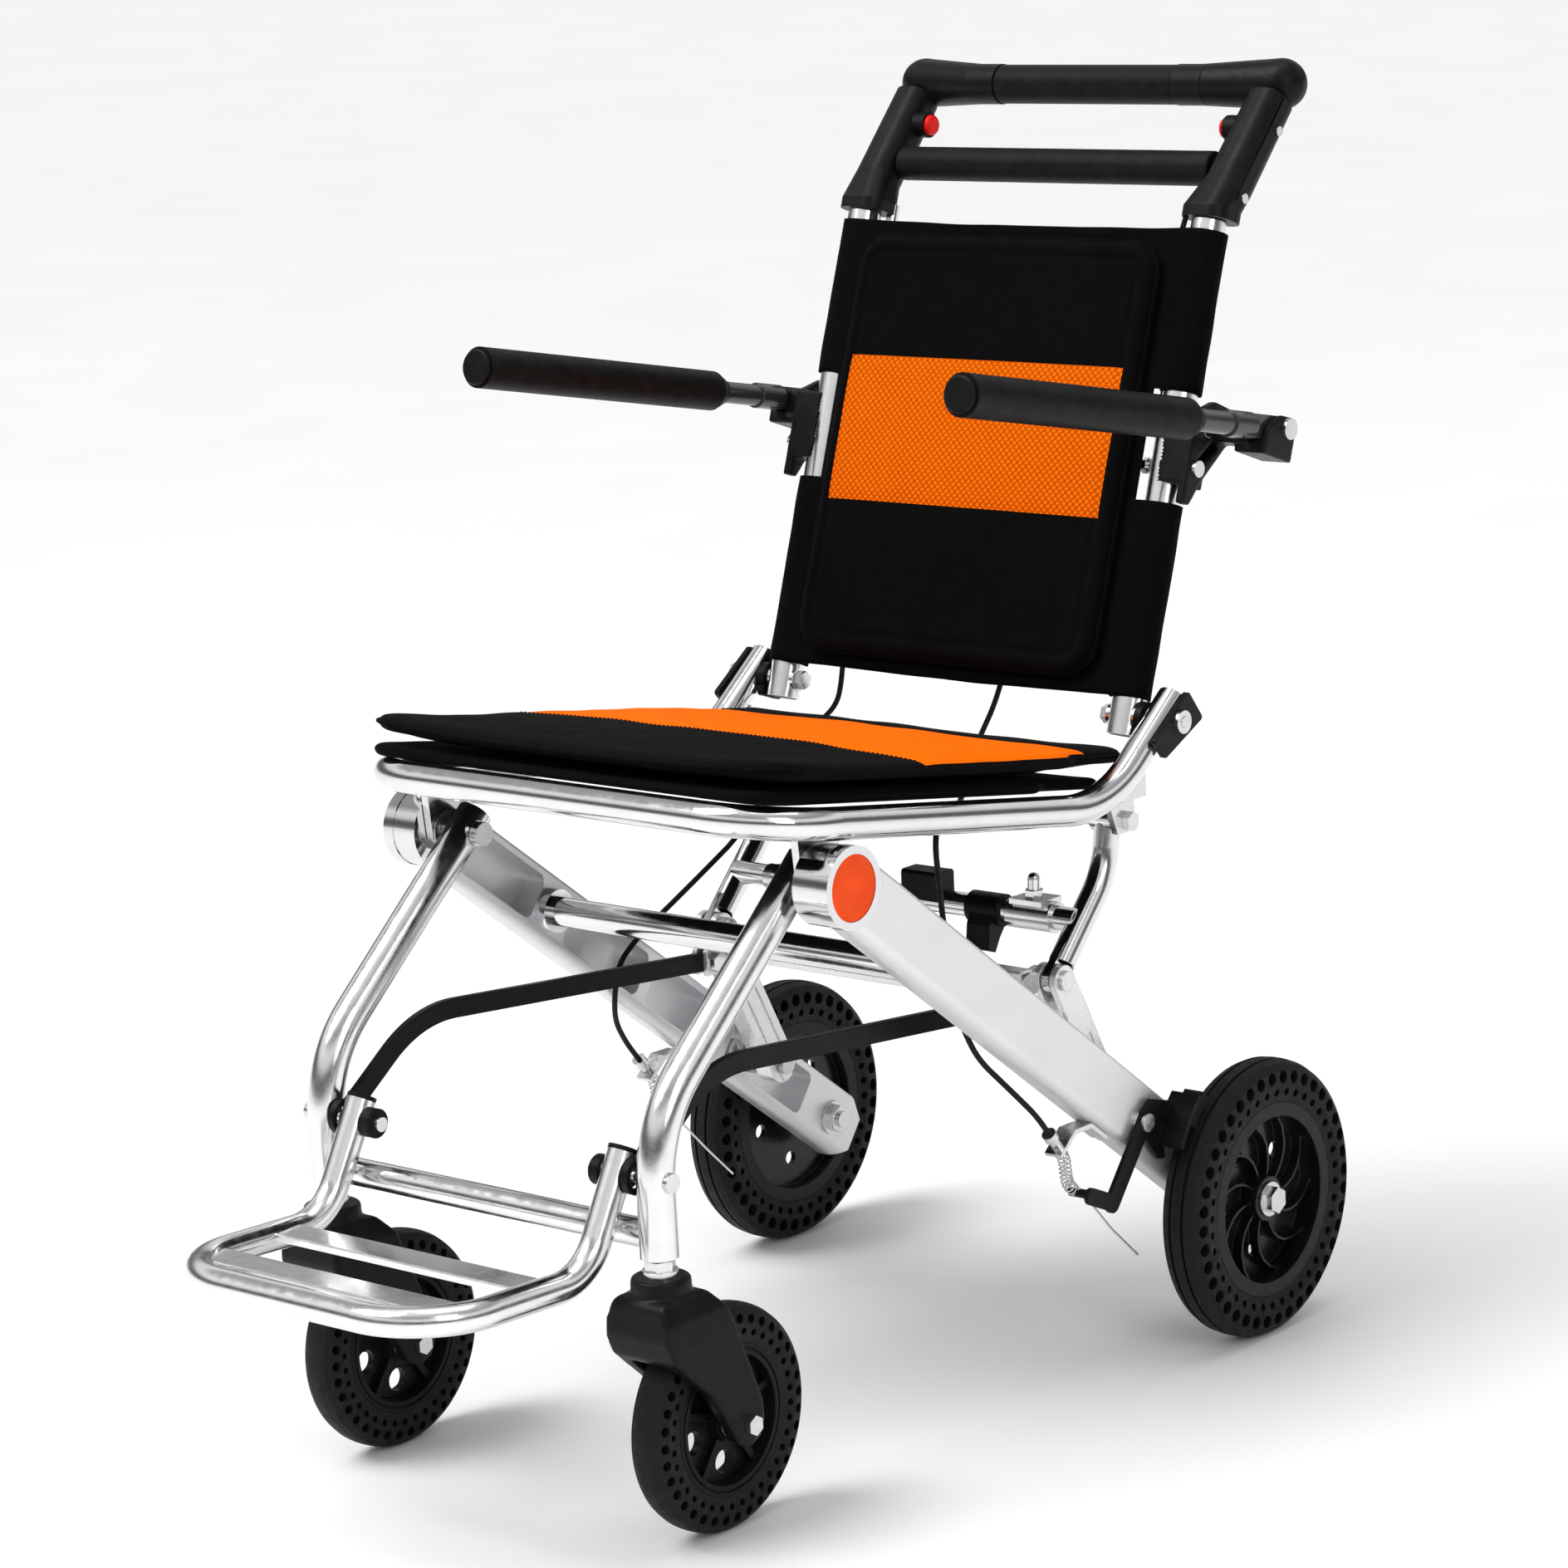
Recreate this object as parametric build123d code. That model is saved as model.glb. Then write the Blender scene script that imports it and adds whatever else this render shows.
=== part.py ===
from build123d import *
import os
from math import sin, cos, tan, atan2, radians, degrees, sqrt, pi, hypot

# Folding transport wheelchair.
# Millimetres. +Z up, the occupant faces -Y, +X is the occupant's left.
# Origin: centre of the footprint on the floor.
os.makedirs("parts", exist_ok=True)

# ------------------------------------------------------------------ driving dimensions
# side view pivots (y, z)
HUB = (-111.0, 408.0)        # main fold pivot of beams, seat and front legs
AXLE = (295.0, 100.0)        # rear wheel axle
FOOT_PIV = (-258.0, 245.0)   # footrest and fold link pivot on the front leg
LINK_PIV = (114.0, 269.0)    # rear pivot of the fold link
KNEE = (150.0, 284.0)        # support to strut pivot
STRUT_PIV = (212.0, 165.0)   # strut to beam pivot
SUP_PIV = (219.0, 384.0)     # support to seat rail pivot
BACK_PIV = (245.0, 452.0)    # backrest hinge
ARM_PIV = (349.0, 643.0)     # armrest hinge
BRAKE_PIV = (188.0, 179.0)   # brake lever pivot
BRAKE_TRAVEL = 5.6           # lever travel, degrees

BACK_TILT = 19.2             # backrest lean from vertical, degrees
MID_Y = 8.75                  # middle of the chair's length in the side view
ARM_LEAN = 53.0               # lean of the rail ends from vertical, degrees
SLEEVE_TILT = 43.2           # handle sleeve lean from vertical, degrees
SEAT_SLOPE = -0.1637         # seat rail slope dz/dy

WHEEL_R = 100.0              # rear wheel radius
WHEEL_W = 33.0
WHEEL_X = 219.0
WHEEL_RIM_R = 70.0
CASTER_R = 75.0
CASTER_W = 27.0
CASTER_TRAIL = 47.0
LEG_X = 147.0
LEG_R = 12.5
LEG_END_Z = 195.0
BEAM_X0, BEAM_X1 = 172.0, 196.0
BEAM_H = 48.0
RAIL_X = 185.0
RAIL_R = 11.0
POST_X = 155.0
POST_R = 12.5
POST_LEN = 352.0
SUP_X = 155.0
SUP_R = 9.5
ARM_X = 213.0
FOOT_X = 116.5
FOOT_R = 10.0
LINK_X0, LINK_X1 = 128.0, 133.0
FIT = 0.05                   # radial clearance of running fits

NODES = {}


def add(name, shape):
    NODES.setdefault(name, [])
    if isinstance(shape, (list, tuple)):
        NODES[name].extend(shape)
    else:
        NODES[name].append(shape)


def mir(s):
    return mirror(s, about=Plane.YZ)


def both(s):
    return [s, mir(s)]


def cylx(x0, x1, y, z, r):
    """cylinder along X"""
    return Pos((x0 + x1) / 2, y, z) * Rot(0, 90, 0) * Cylinder(r, abs(x1 - x0))


def ringx(x0, x1, y, z, ro, ri):
    return cylx(x0, x1, y, z, ro) - cylx(x0 - 1, x1 + 1, y, z, ri)


def cylz(x, y, z0, z1, r):
    return Pos(x, y, (z0 + z1) / 2) * Cylinder(r, z1 - z0)


def box(x0, x1, y0, y1, z0, z1):
    return Pos((x0 + x1) / 2, (y0 + y1) / 2, (z0 + z1) / 2) * Box(x1 - x0, y1 - y0, z1 - z0)


def plate(pts, x0, x1):
    """side view outline (y, z) extruded from x0 to x1"""
    w = Polyline(*[(x0, p[0], p[1]) for p in pts], close=True)
    return extrude(make_face(w), amount=x1 - x0, dir=(1, 0, 0))


def slot_bar(p, q, w, x0, x1):
    """flat bar with round ends from p to q (side view), width w"""
    a = atan2(q[1] - p[1], q[0] - p[0])
    n = (-sin(a) * w / 2, cos(a) * w / 2)
    body = plate([(p[0] + n[0], p[1] + n[1]), (q[0] + n[0], q[1] + n[1]),
                  (q[0] - n[0], q[1] - n[1]), (p[0] - n[0], p[1] - n[1])], x0, x1)
    return body + cylx(x0, x1, p[0], p[1], w / 2) + cylx(x0, x1, q[0], q[1], w / 2)


def wire_path(pts, radii):
    return FilletPolyline(*pts, radius=radii)


def tube(path, ro, ri=0.0):
    sec = Circle(ro)
    if ri > 0:
        sec = sec - Circle(ri)
    return sweep(Plane(origin=path @ 0, z_dir=path % 0) * sec, path=path)


def hexx(x0, x1, y, z, af):
    return Pos(x0, y, z) * Rot(0, 90, 0) * extrude(RegularPolygon(af / 2, 6, major_radius=False), amount=x1 - x0)


def along(p, q, t):
    return (p[0] + (q[0] - p[0]) * t, p[1] + (q[1] - p[1]) * t)


# ------------------------------------------------------------------ diagonal beams
ang = atan2(AXLE[1] - HUB[1], AXLE[0] - HUB[0])       # beam direction, side view
bd = (cos(ang), sin(ang))
bn = (-sin(ang), cos(ang))                            # upward normal of the beam
LB = hypot(AXLE[0] - HUB[0], AXLE[1] - HUB[1])


def bp(s, h):
    """point on the beam: s along from the hub, h above its centreline"""
    return (HUB[0] + bd[0] * s + bn[0] * h, HUB[1] + bd[1] * s + bn[1] * h)


def beam():
    hh = BEAM_H / 2
    out = plate([bp(6, hh), bp(LB + 14, hh), bp(LB + 32, hh - 12), bp(LB + 32, -hh + 10),
                 bp(LB + 20, -hh), bp(6, -hh)], BEAM_X0, BEAM_X1)
    # rounded long edges: generous along the bottom, small along the top
    ed = [e for e in out.edges() if e.length > 300]
    low = sorted(ed, key=lambda e: (e.center() - Vector(0, HUB[0], HUB[1])).dot(Vector(0, bn[0], bn[1])))
    out = fillet(low[:2], 9.0)
    ed = [e for e in out.edges() if e.length > 300 and
          (e.center() - Vector(0, HUB[0], HUB[1])).dot(Vector(0, bn[0], bn[1])) > hh - 1]
    out = fillet(ed, 2.5)
    # casting pockets on the inner side
    for s0, s1 in ((34, 118), (158, 250), (262, 330), (366, 470)):
        pk = plate([bp(s0, hh - 6), bp(s1, hh - 6), bp(s1, -hh + 9), bp(s0, -hh + 9)], BEAM_X0 - 1, BEAM_X1 - 7)
        pk = fillet(pk.edges().filter_by(Axis.X), 6.0)
        out -= pk
    # hub ring
    out += cylx(BEAM_X1 - 8, BEAM_X1 + 1.0, HUB[0], HUB[1], 27.6)
    out += cylx(168.0, BEAM_X1 - 6.0, HUB[0], HUB[1], 27.0)
    out -= cylx(BEAM_X1 - 7, BEAM_X1 + 3, HUB[0], HUB[1], 22.1)
    out -= cylx(BEAM_X1 - 10.1, BEAM_X1 - 6, HUB[0], HUB[1], 11.2)
    out -= cylx(160, BEAM_X1 + 2, HUB[0], HUB[1], 6.0)
    # boss for the strut pivot, bore for the crossbar bolt
    out += cylx(BEAM_X0, BEAM_X1 - 5, STRUT_PIV[0], STRUT_PIV[1], 10.0)
    out -= cylx(BEAM_X0 - 2, BEAM_X1 - 6.8, STRUT_PIV[0], STRUT_PIV[1], 4.02)
    out += cylx(BEAM_X0, BEAM_X1 - 5, BRAKE_PIV[0], BRAKE_PIV[1], 8.0)
    out -= cylx(BEAM_X0 - 2, BEAM_X1 - 6.8, XA[0], XA[1], 3.02)
    # axle bore, strut pivot bore, crossbar bore, brake pivot bore
    out -= cylx(BEAM_X0 - 2, BEAM_X1 + 2, AXLE[0], AXLE[1], 6.0)
    out -= cylx(BEAM_X0 - 2, BEAM_X1 + 2, BRAKE_PIV[0], BRAKE_PIV[1], 4.0)
    return out


XA = (-3.0, 327.0)           # upper crossbar
bm = beam()
add("beam_left", bm)
add("beam_right", mir(bm))

# coloured disc in the ring
disc = cylx(BEAM_X1 - 6.9, BEAM_X1 + 0.4, HUB[0], HUB[1], 22.0)
disc -= cylx(BEAM_X1 - 8, BEAM_X1 - 2.4, HUB[0], HUB[1], 19.5)
add("hub_discs", both(disc))

# ------------------------------------------------------------------ upper crossbar (fixed, between the beams)
cb = ringx(-BEAM_X0 + 0.0, BEAM_X0 - 0.0, XA[0], XA[1], 10.5, 8.7)
for sx in (1, -1):
    a0, a1 = sorted((sx * 164.0, sx * BEAM_X0))
    cb += ringx(a0, a1, XA[0], XA[1], 15.5, 8.7)
add("upper_crossbar", cb)
# crossbar bolts, head recessed in the beam's outer wall
sb = cylx(160.0, 189.0, XA[0], XA[1], 3.0) + cylx(160.0, 171.9, XA[0], XA[1], 8.68)
add("frame_bolts", both(sb))

# ------------------------------------------------------------------ rear wheels
def rear_tyre():
    hw = WHEEL_W / 2
    prof = [(70.2, -hw + 2.0), (82.0, -hw), (92.0, -hw + 0.6), (97.2, -hw + 4.2), (99.4, -hw + 9.0), (WHEEL_R, -2.5),
            (WHEEL_R, 2.5), (99.4, hw - 9.0), (97.2, hw - 4.2), (92.0, hw - 0.6), (82.0, hw), (70.2, hw - 2.0)]
    # revolve about X: sketch in the XZ plane, x axial, z radial
    w = Polyline(*[(x, 0, r) for r, x in prof], close=True)
    t = revolve(make_face(w), Axis.X)
    # two centre tread grooves
    for gx in (-5.0, 5.0):
        t -= Pos(gx, 0, 0) * Rot(0, 90, 0) * (Cylinder(WHEEL_R + 1, 2.0) - Cylinder(WHEEL_R - 2.0, 4.0))
    n = 40
    cut = []
    for i in range(n):
        a = 2 * pi * i / n
        cut.append(Pos(0, 88.2 * cos(a), 88.2 * sin(a)) * Rot(0, 90, 0) * Cylinder(4.6, WHEEL_W + 2))
        b = a + pi / n
        cut.append(Pos(0, 77.4 * cos(b), 77.4 * sin(b)) * Rot(0, 90, 0) * Cylinder(2.8, WHEEL_W + 2))
    return t - cut


def rear_rim():
    # rim ring, web and hub; blades on the outer side
    prof = [(64.0, -14.0), (69.9, -14.6), (69.9, 14.6), (61.0, 14.6), (60.0, 12.0), (60.0, -1.0), (58.0, -3.0),
            (18.0, -3.0), (17.0, -14.0), (11.1, -14.0), (11.1, 12.0), (16.0, 12.0), (17.5, 2.0), (56.0, 2.0),
            (56.0, -12.0)]
    prof = [(60.0, 14.6), (69.9, 14.6), (69.9, -14.6), (60.0, -14.6), (59.0, -6.0), (18.0, -6.0), (17.0, -14.0),
            (11.05, -14.0), (11.05, 10.5), (16.0, 10.5), (18.0, -2.0), (58.0, -2.0)]
    w = Polyline(*[(x, 0, r) for r, x in prof], close=True)
    b = revolve(make_face(w), Axis.X)
    blades = []
    for i in range(10):
        a0 = 2 * pi * i / 10
        pts = []
        for k in range(7):
            f = k / 6.0
            r = 15.5 + f * 45.0
            a = a0 + 0.62 * f * f
            pts.append((r, a))
        path = [(r * cos(a), r * sin(a)) for r, a in pts]
        ln = Spline(*[(0, p[0], p[1]) for p in path])
        q0 = []
        th = 1.0
        left = [(p[0] - th * sin(pts[j][1] + 0.55), p[1] + th * cos(pts[j][1] + 0.55)) for j, p in enumerate(path)]
        right = [(p[0] + th * sin(pts[j][1] + 0.55), p[1] - th * cos(pts[j][1] + 0.55)) for j, p in enumerate(path)]
        poly = Polyline(*[(-2.5, p[0], p[1]) for p in left + right[::-1]], close=True)
        blades.append(extrude(make_face(poly), amount=8.5, dir=(1, 0, 0)))
    b = b + blades
    # five vent openings through the web
    vents = []
    for i in range(5):
        a = 2 * pi * i / 5 + 0.85
        vents.append(Pos(-4, 38 * cos(a), 38 * sin(a)) * Rot(0, 90, 0) * Cylinder(5.5, 5.8))
    return b - vents


ty = rear_tyre()
rm = rear_rim()
loc = Pos(WHEEL_X, AXLE[0], AXLE[1])
for side, f in (("left", lambda s: s), ("right", mir)):
    add("rear_tyre_" + side, f(loc * ty))
    add("rear_rim_" + side, f(loc * rm))
    brg = []
    for bx in (WHEEL_X - 14.0, WHEEL_X + 3.5):
        brg.append(f(ringx(bx, bx + 7.0, AXLE[0], AXLE[1], 11.0, 6.05)))
    brg.append(f(ringx(WHEEL_X - 6.8, WHEEL_X + 3.3, AXLE[0], AXLE[1], 8.0, 6.05)))
    add("rear_bearings", brg)
    ax = cylx(160.5, WHEEL_X + 13.0, AXLE[0], AXLE[1], 6.0)
    ax += ringx(BEAM_X1 + 0.3, WHEEL_X - 14.3, AXLE[0], AXLE[1], 9.0, 5.9)
    ax += hexx(WHEEL_X + 11.0, WHEEL_X + 19.0, AXLE[0], AXLE[1], 17.0) + ringx(WHEEL_X + 10.8, WHEEL_X + 12.6, AXLE[0], AXLE[1], 12.5, 5.9)
    ax += hexx(163.0, 171.7, AXLE[0], AXLE[1], 19.0) + ringx(169.7, 171.9, AXLE[0], AXLE[1], 13.0, 5.9)
    add("rear_axles", f(ax))

# ------------------------------------------------------------------ front legs
leg_top = (HUB[0] + 12.0, HUB[1] + 10.5)
leg_vx = (-258.0, 281.0)


def leg(sx):
    x = sx * LEG_X
    p = wire_path([(x, leg_top[0], leg_top[1]), (x, leg_vx[0], leg_vx[1]), (x, leg_vx[0], LEG_END_Z)], [88.0])
    t = tube(p, LEG_R, LEG_R - 1.8)
    # pivot boss at the hub and bores
    x0, x1 = sorted((sx * (LEG_X - LEG_R), sx * (LEG_X + LEG_R)))
    t += cylx(x0, x1, HUB[0], HUB[1], 9.0)
    t -= cylx(x0 - 2, x1 + 2, HUB[0], HUB[1], 5.0 + FIT)
    t -= cylx(x0 - 2, x1 + 2, FOOT_PIV[0], FOOT_PIV[1], 4.0)
    f0, f1 = sorted((sx * (LEG_X + LEG_R - 1.2), sx * (LEG_X + LEG_R + 5)))
    t -= cylx(f0, f1, FOOT_PIV[0], FOOT_PIV[1], 6.6)
    return t


for side, sx in (("left", 1), ("right", -1)):
    # caster bearing housing pressed in the bottom of the leg
    h = cylz(sx * LEG_X, leg_vx[0], LEG_END_Z + 0.2, LEG_END_Z + 28.0, LEG_R - 1.85) - cylz(sx * LEG_X, leg_vx[0], LEG_END_Z - 1, LEG_END_Z + 29, 6.05)
    add("caster_bushes", h)

XC = (-254.0, 207.0)
lc = LEG_X - LEG_R
low = ringx(-lc - 4.0, lc + 4.0, XC[0], XC[1], 9.5, 7.9)
for sx in (1, -1):
    low -= cylz(sx * LEG_X, leg_vx[0], 150, 260, LEG_R - 1.0)
# legs and their crossbar are one welded frame
add("front_leg_frame", leg(1) + leg(-1) + low)

# hub pivot bolts: head on the inner side of the leg, threaded into the beam casting
pb = []
for sx in (1, -1):
    a = sx
    def cx(x0, x1, r):
        lo, hi = sorted((a * x0, a * x1))
        return cylx(lo, hi, HUB[0], HUB[1], r)
    b = cx(130.0, 188.0, 5.0) + cx(127.5, 134.0, 8.5) + cx(186.0, 188.9, 11.0)
    b += cx(168.3, 186.5, 5.95)
    pb.append(b)
add("frame_bolts", pb)
add("frame_bolts", both(ringx(159.9, 161.4, HUB[0], HUB[1], 15.0, 5.2)))

# ------------------------------------------------------------------ seat frame
zr = lambda y: 459.2 + SEAT_SLOPE * (y + 174.0)
up = (sin(radians(BACK_TILT)), cos(radians(BACK_TILT)))
vy = 174.8
arm_dir = (sin(radians(ARM_LEAN)), cos(radians(ARM_LEAN)))
rail_end = (BACK_PIV[0] + arm_dir[0] * 16.5, BACK_PIV[1] + 3.0 + arm_dir[1] * 16.5)
pts = [(-RAIL_X, rail_end[0], rail_end[1]), (-RAIL_X, vy, zr(vy)), (-RAIL_X, -174.0, zr(-174)),
       (RAIL_X, -174.0, zr(-174)), (RAIL_X, vy, zr(vy)), (RAIL_X, rail_end[0], rail_end[1])]
rail = tube(wire_path(pts, [105.0, 58.0, 58.0, 105.0]), RAIL_R, RAIL_R - 1.6)
for sx in (1, -1):
    x0, x1 = sorted((sx * (RAIL_X - RAIL_R - 1), sx * (RAIL_X + RAIL_R + 1)))
    rail -= cylx(x0, x1, BACK_PIV[0], BACK_PIV[1], 4.0)
add("seat_frame", rail)
# seat brackets: plate welded under each rail, hanging over the hub pivot
zb = zr(HUB[0])
sbk = plate([(HUB[0] - 15, HUB[1] - 4), (HUB[0] - 20, zb + 2), (HUB[0] + 26, zb - 5), (HUB[0] + 15, HUB[1] - 6),
             (HUB[0], HUB[1] - 15)], 161.7, 167.4)
sbk += plate([(HUB[0] - 20, zb + 2), (HUB[0] - 20, zb + 6), (HUB[0] + 26, zb - 1.5), (HUB[0] + 26, zb - 5.5)], 161.7, 178.0)
sbk -= cylx(160, 169, HUB[0], HUB[1], 5.0 + FIT)
seat_br = sbk - tube(wire_path(pts, [105.0, 58.0, 58.0, 105.0]), RAIL_R + 0.02)
add("seat_brackets", both(seat_br))
# support pivot brackets under the rear of the rails
zs = zr(SUP_PIV[0])
spk = []
rl = tube(wire_path(pts, [105.0, 58.0, 58.0, 105.0]), RAIL_R + 0.02)
s1 = plate([(SUP_PIV[0] - 11, SUP_PIV[1] - 8), (SUP_PIV[0] - 22, SUP_PIV[1] + 20), (SUP_PIV[0] - 22, SUP_PIV[1] + 27), (SUP_PIV[0] + 6, SUP_PIV[1] + 27),
            (SUP_PIV[0] + 11, SUP_PIV[1] - 8)], 166.5, 171.5)
s1 += plate([(SUP_PIV[0] - 22, SUP_PIV[1] + 18), (SUP_PIV[0] - 22, SUP_PIV[1] + 27), (SUP_PIV[0] + 6, SUP_PIV[1] + 27), (SUP_PIV[0] + 6, SUP_PIV[1] + 18)], 171.4, 184.0)
s1 += plate([(SUP_PIV[0] - 22, SUP_PIV[1] + 26), (SUP_PIV[0] - 22, SUP_PIV[1] + 34), (SUP_PIV[0] + 6, SUP_PIV[1] + 50), (SUP_PIV[0] + 6, SUP_PIV[1] + 26)], 172.6, 184.0)
s1 -= cylx(160, 175, SUP_PIV[0], SUP_PIV[1], 4.0)
add("seat_brackets", both(s1 - rl))
# bolts: fixed in the brackets, the support turns on them
spb = cylx(140.0, 173.0, SUP_PIV[0], SUP_PIV[1], 4.0) + hexx(171.6, 177.0, SUP_PIV[0], SUP_PIV[1], 12.0) + cylx(138.5, 142.4, SUP_PIV[0], SUP_PIV[1], 6.5)
add("seat_frame_bolts", both(spb))

# ------------------------------------------------------------------ rear supports with their cross tube
def support(sx):
    x = sx * SUP_X
    p = wire_path([(x, SUP_PIV[0], SUP_PIV[1]), (x, 212.0, 346.0), (x, KNEE[0] + 9, KNEE[1] + 8.5)], [60.0])
    t = tube(p, SUP_R, SUP_R - 1.5)
    t += cylx(x - SUP_R, x + SUP_R, SUP_PIV[0], SUP_PIV[1], 10.0)
    t -= cylx(x - 12, x + 12, SUP_PIV[0], SUP_PIV[1], 4.0 + FIT)
    # flattened eye at the knee
    e = slot_bar(KNEE, (KNEE[0] + 16, KNEE[1] + 15), 20.0, x - 3.0, x + 3.0)
    e -= cylx(x - 12, x + 12, KNEE[0], KNEE[1], 7.6)
    t -= cylx(x - 12, x + 12, KNEE[0], KNEE[1], 13.6)
    return t + e


XS = (180.0, 319.0)
cst = ringx(-SUP_X, SUP_X, XS[0], XS[1], 8.5, 7.0)
for sx in (1, -1):
    p = wire_path([(sx * SUP_X, SUP_PIV[0], SUP_PIV[1]), (sx * SUP_X, 212.0, 346.0), (sx * SUP_X, KNEE[0] + 9, KNEE[1] + 8.5)], [60.0])
    cst -= tube(p, SUP_R - 1.0)
# both supports and their cross tube are one welded frame
add("rear_support_frame", support(1) + support(-1) + cst)

# ------------------------------------------------------------------ struts with the rear bar
def strut(sx):
    x = sx * SUP_X
    bodyv = slot_bar(STRUT_PIV, along(STRUT_PIV, KNEE, 0.80), 27.0, x - 7.5, x + 7.5)
    # extruded grooves on both faces
    d = atan2(KNEE[1] - STRUT_PIV[1], KNEE[0] - STRUT_PIV[0])
    for off in (-6.0, 6.0):
        n = (-sin(d) * off, cos(d) * off)
        p0 = along(STRUT_PIV, KNEE, -0.2)
        p1 = along(STRUT_PIV, KNEE, 1.0)
        for xx in (x - 7.5, x + 7.5):
            bodyv -= slot_bar((p0[0] + n[0], p0[1] + n[1]), (p1[0] + n[0], p1[1] + n[1]), 2.0, xx - 1.0, xx + 1.0)
    for a0 in (x - 9.5, x + 4.5):
        ck = slot_bar(KNEE, along(STRUT_PIV, KNEE, 0.70), 22.0, a0, a0 + 5.0)
        bodyv += ck
    bodyv -= slot_bar((KNEE[0], KNEE[1]), (KNEE[0] + 30, KNEE[1] + 28), 26.0, x - 4.4, x + 4.4)
    bodyv -= cylx(x - 4.4, x + 4.4, KNEE[0], KNEE[1], 13.5)
    bodyv -= cylx(x - 14, x + 14, KNEE[0], KNEE[1], 4.0)
    bodyv -= cylx(x - 14, x + 14, STRUT_PIV[0], STRUT_PIV[1], 4.0 + FIT)
    return bodyv


add("struts", [strut(1), strut(-1)])

# knee pins, fixed in the strut forks
kp = cylx(SUP_X - 12.0, SUP_X + 12.0, KNEE[0], KNEE[1], 4.0) + cylx(SUP_X + 9.7, SUP_X + 12.5, KNEE[0], KNEE[1], 7.0) + cylx(SUP_X - 12.5, SUP_X - 9.7, KNEE[0], KNEE[1], 7.0)
add("strut_pins", both(kp))
# strut pivot bolts, fixed in the beams
sp = cylx(SUP_X - 10.5, BEAM_X1 - 6.9, STRUT_PIV[0], STRUT_PIV[1], 4.0) + cylx(SUP_X - 12.5, SUP_X - 8.0, STRUT_PIV[0], STRUT_PIV[1], 6.5)
sp += ringx(SUP_X + 8.0, BEAM_X0 - 0.2, STRUT_PIV[0], STRUT_PIV[1], 9.0, 3.9)
add("frame_bolts", both(sp))

# rear bar: flat extrusion across, just ahead of the knee pins
BX = SUP_X - 9.9
XB = (132.0, 281.0)
rb = box(-BX, BX, XB[0] - 7.0, XB[0] + 7.0, XB[1] - 12.0, XB[1] + 12.0)
rb = fillet(rb.edges().filter_by(Axis.X), 2.0)
for zz in (-4.5, 4.5):
    rb -= box(-BX - 1, BX + 1, XB[0] - 8.0, XB[0] - 5.6, XB[1] + zz - 1.0, XB[1] + zz + 1.0)
rb -= box(-BX - 1, BX + 1, XB[0] - 4.6, XB[0] + 4.6, XB[1] - 9.6, XB[1] + 9.6)
for sx in (1, -1):
    a0, a1 = sorted((sx * (BX + 0.35), sx * (BX - 1.0)))
# end lugs that carry the bar on the fork cheeks
for sx in (1, -1):
    a0, a1 = sorted((sx * (BX - 7.0), sx * (BX + 0.38)))
    lg = slot_bar((XB[0] + 2.0, XB[1]), KNEE, 16.0, a0, a1)
    rb += lg - cylx(a0 - 1, a1 + 1, KNEE[0], KNEE[1], 7.4)
# link clevises welded on the bar
cl = []
for sx in (1, -1):
    for c0, c1 in ((LINK_X0 - 4.4, LINK_X0 - 0.4), (LINK_X1 + 0.4, LINK_X1 + 4.4)):
        a0, a1 = sorted((sx * c0, sx * c1))
        c = plate([(LINK_PIV[0] - 8, LINK_PIV[1] - 9), (LINK_PIV[0] + 8, LINK_PIV[1] - 9), (XB[0] - 6.5, XB[1] - 11.0),
                   (XB[0] - 6.5, XB[1] + 11.0), (LINK_PIV[0] - 8, LINK_PIV[1] + 9)], a0, a1)
        c -= cylx(a0 - 1, a1 + 1, LINK_PIV[0], LINK_PIV[1], 4.0)
        cl.append(c)
    # bridge between the cheeks, against the bar
    a0, a1 = sorted((sx * (LINK_X0 - 4.4), sx * (LINK_X1 + 4.4)))
    br = box(a0, a1, XB[0] - 9.0, XB[0] - 6.5, XB[1] - 2.0, XB[1] + 11.0)
    cl[-1] = cl[-1] + br + cl[-2]
    cl.pop(-2)
for c in cl:
    rb += c
add("rear_bar", rb)
lb = cylx(LINK_X0 - 9.0, LINK_X1 + 9.0, LINK_PIV[0], LINK_PIV[1], 4.0) + hexx(LINK_X0 - 10.0, LINK_X0 - 4.5, LINK_PIV[0], LINK_PIV[1], 13.0) + cylx(LINK_X1 + 4.5, LINK_X1 + 9.0, LINK_PIV[0], LINK_PIV[1], 6.5)
add("strut_pins", both(lb))

# ------------------------------------------------------------------ fold links: bent flat bars
def link(sx):
    pth = wire_path([(0, LINK_PIV[0], LINK_PIV[1]), (0, -183.0, 298.0), (0, FOOT_PIV[0] + 0.0, FOOT_PIV[1] + 0.0)], [95.0])
    # flat bar: offset outline of the centreline
    prof = Plane(origin=pth @ 0, z_dir=pth % 0, x_dir=(1, 0, 0)) * Rectangle(LINK_X1 - LINK_X0, 13.5)
    b = sweep(prof, path=pth)
    b = Pos((LINK_X0 + LINK_X1) / 2, 0, 0) * b
    b += cylx(LINK_X0, LINK_X1, LINK_PIV[0], LINK_PIV[1], 8.4)
    b += cylx(LINK_X0, LINK_X1, FOOT_PIV[0], FOOT_PIV[1], 12.0)
    b -= cylx(LINK_X0 - 1, LINK_X1 + 1, LINK_PIV[0], LINK_PIV[1], 4.0 + FIT)
    b -= cylx(LINK_X0 - 1, LINK_X1 + 1, FOOT_PIV[0], FOOT_PIV[1], 8.2)
    return b if sx > 0 else mir(b)


add("fold_links", [link(1), link(-1)])


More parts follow.
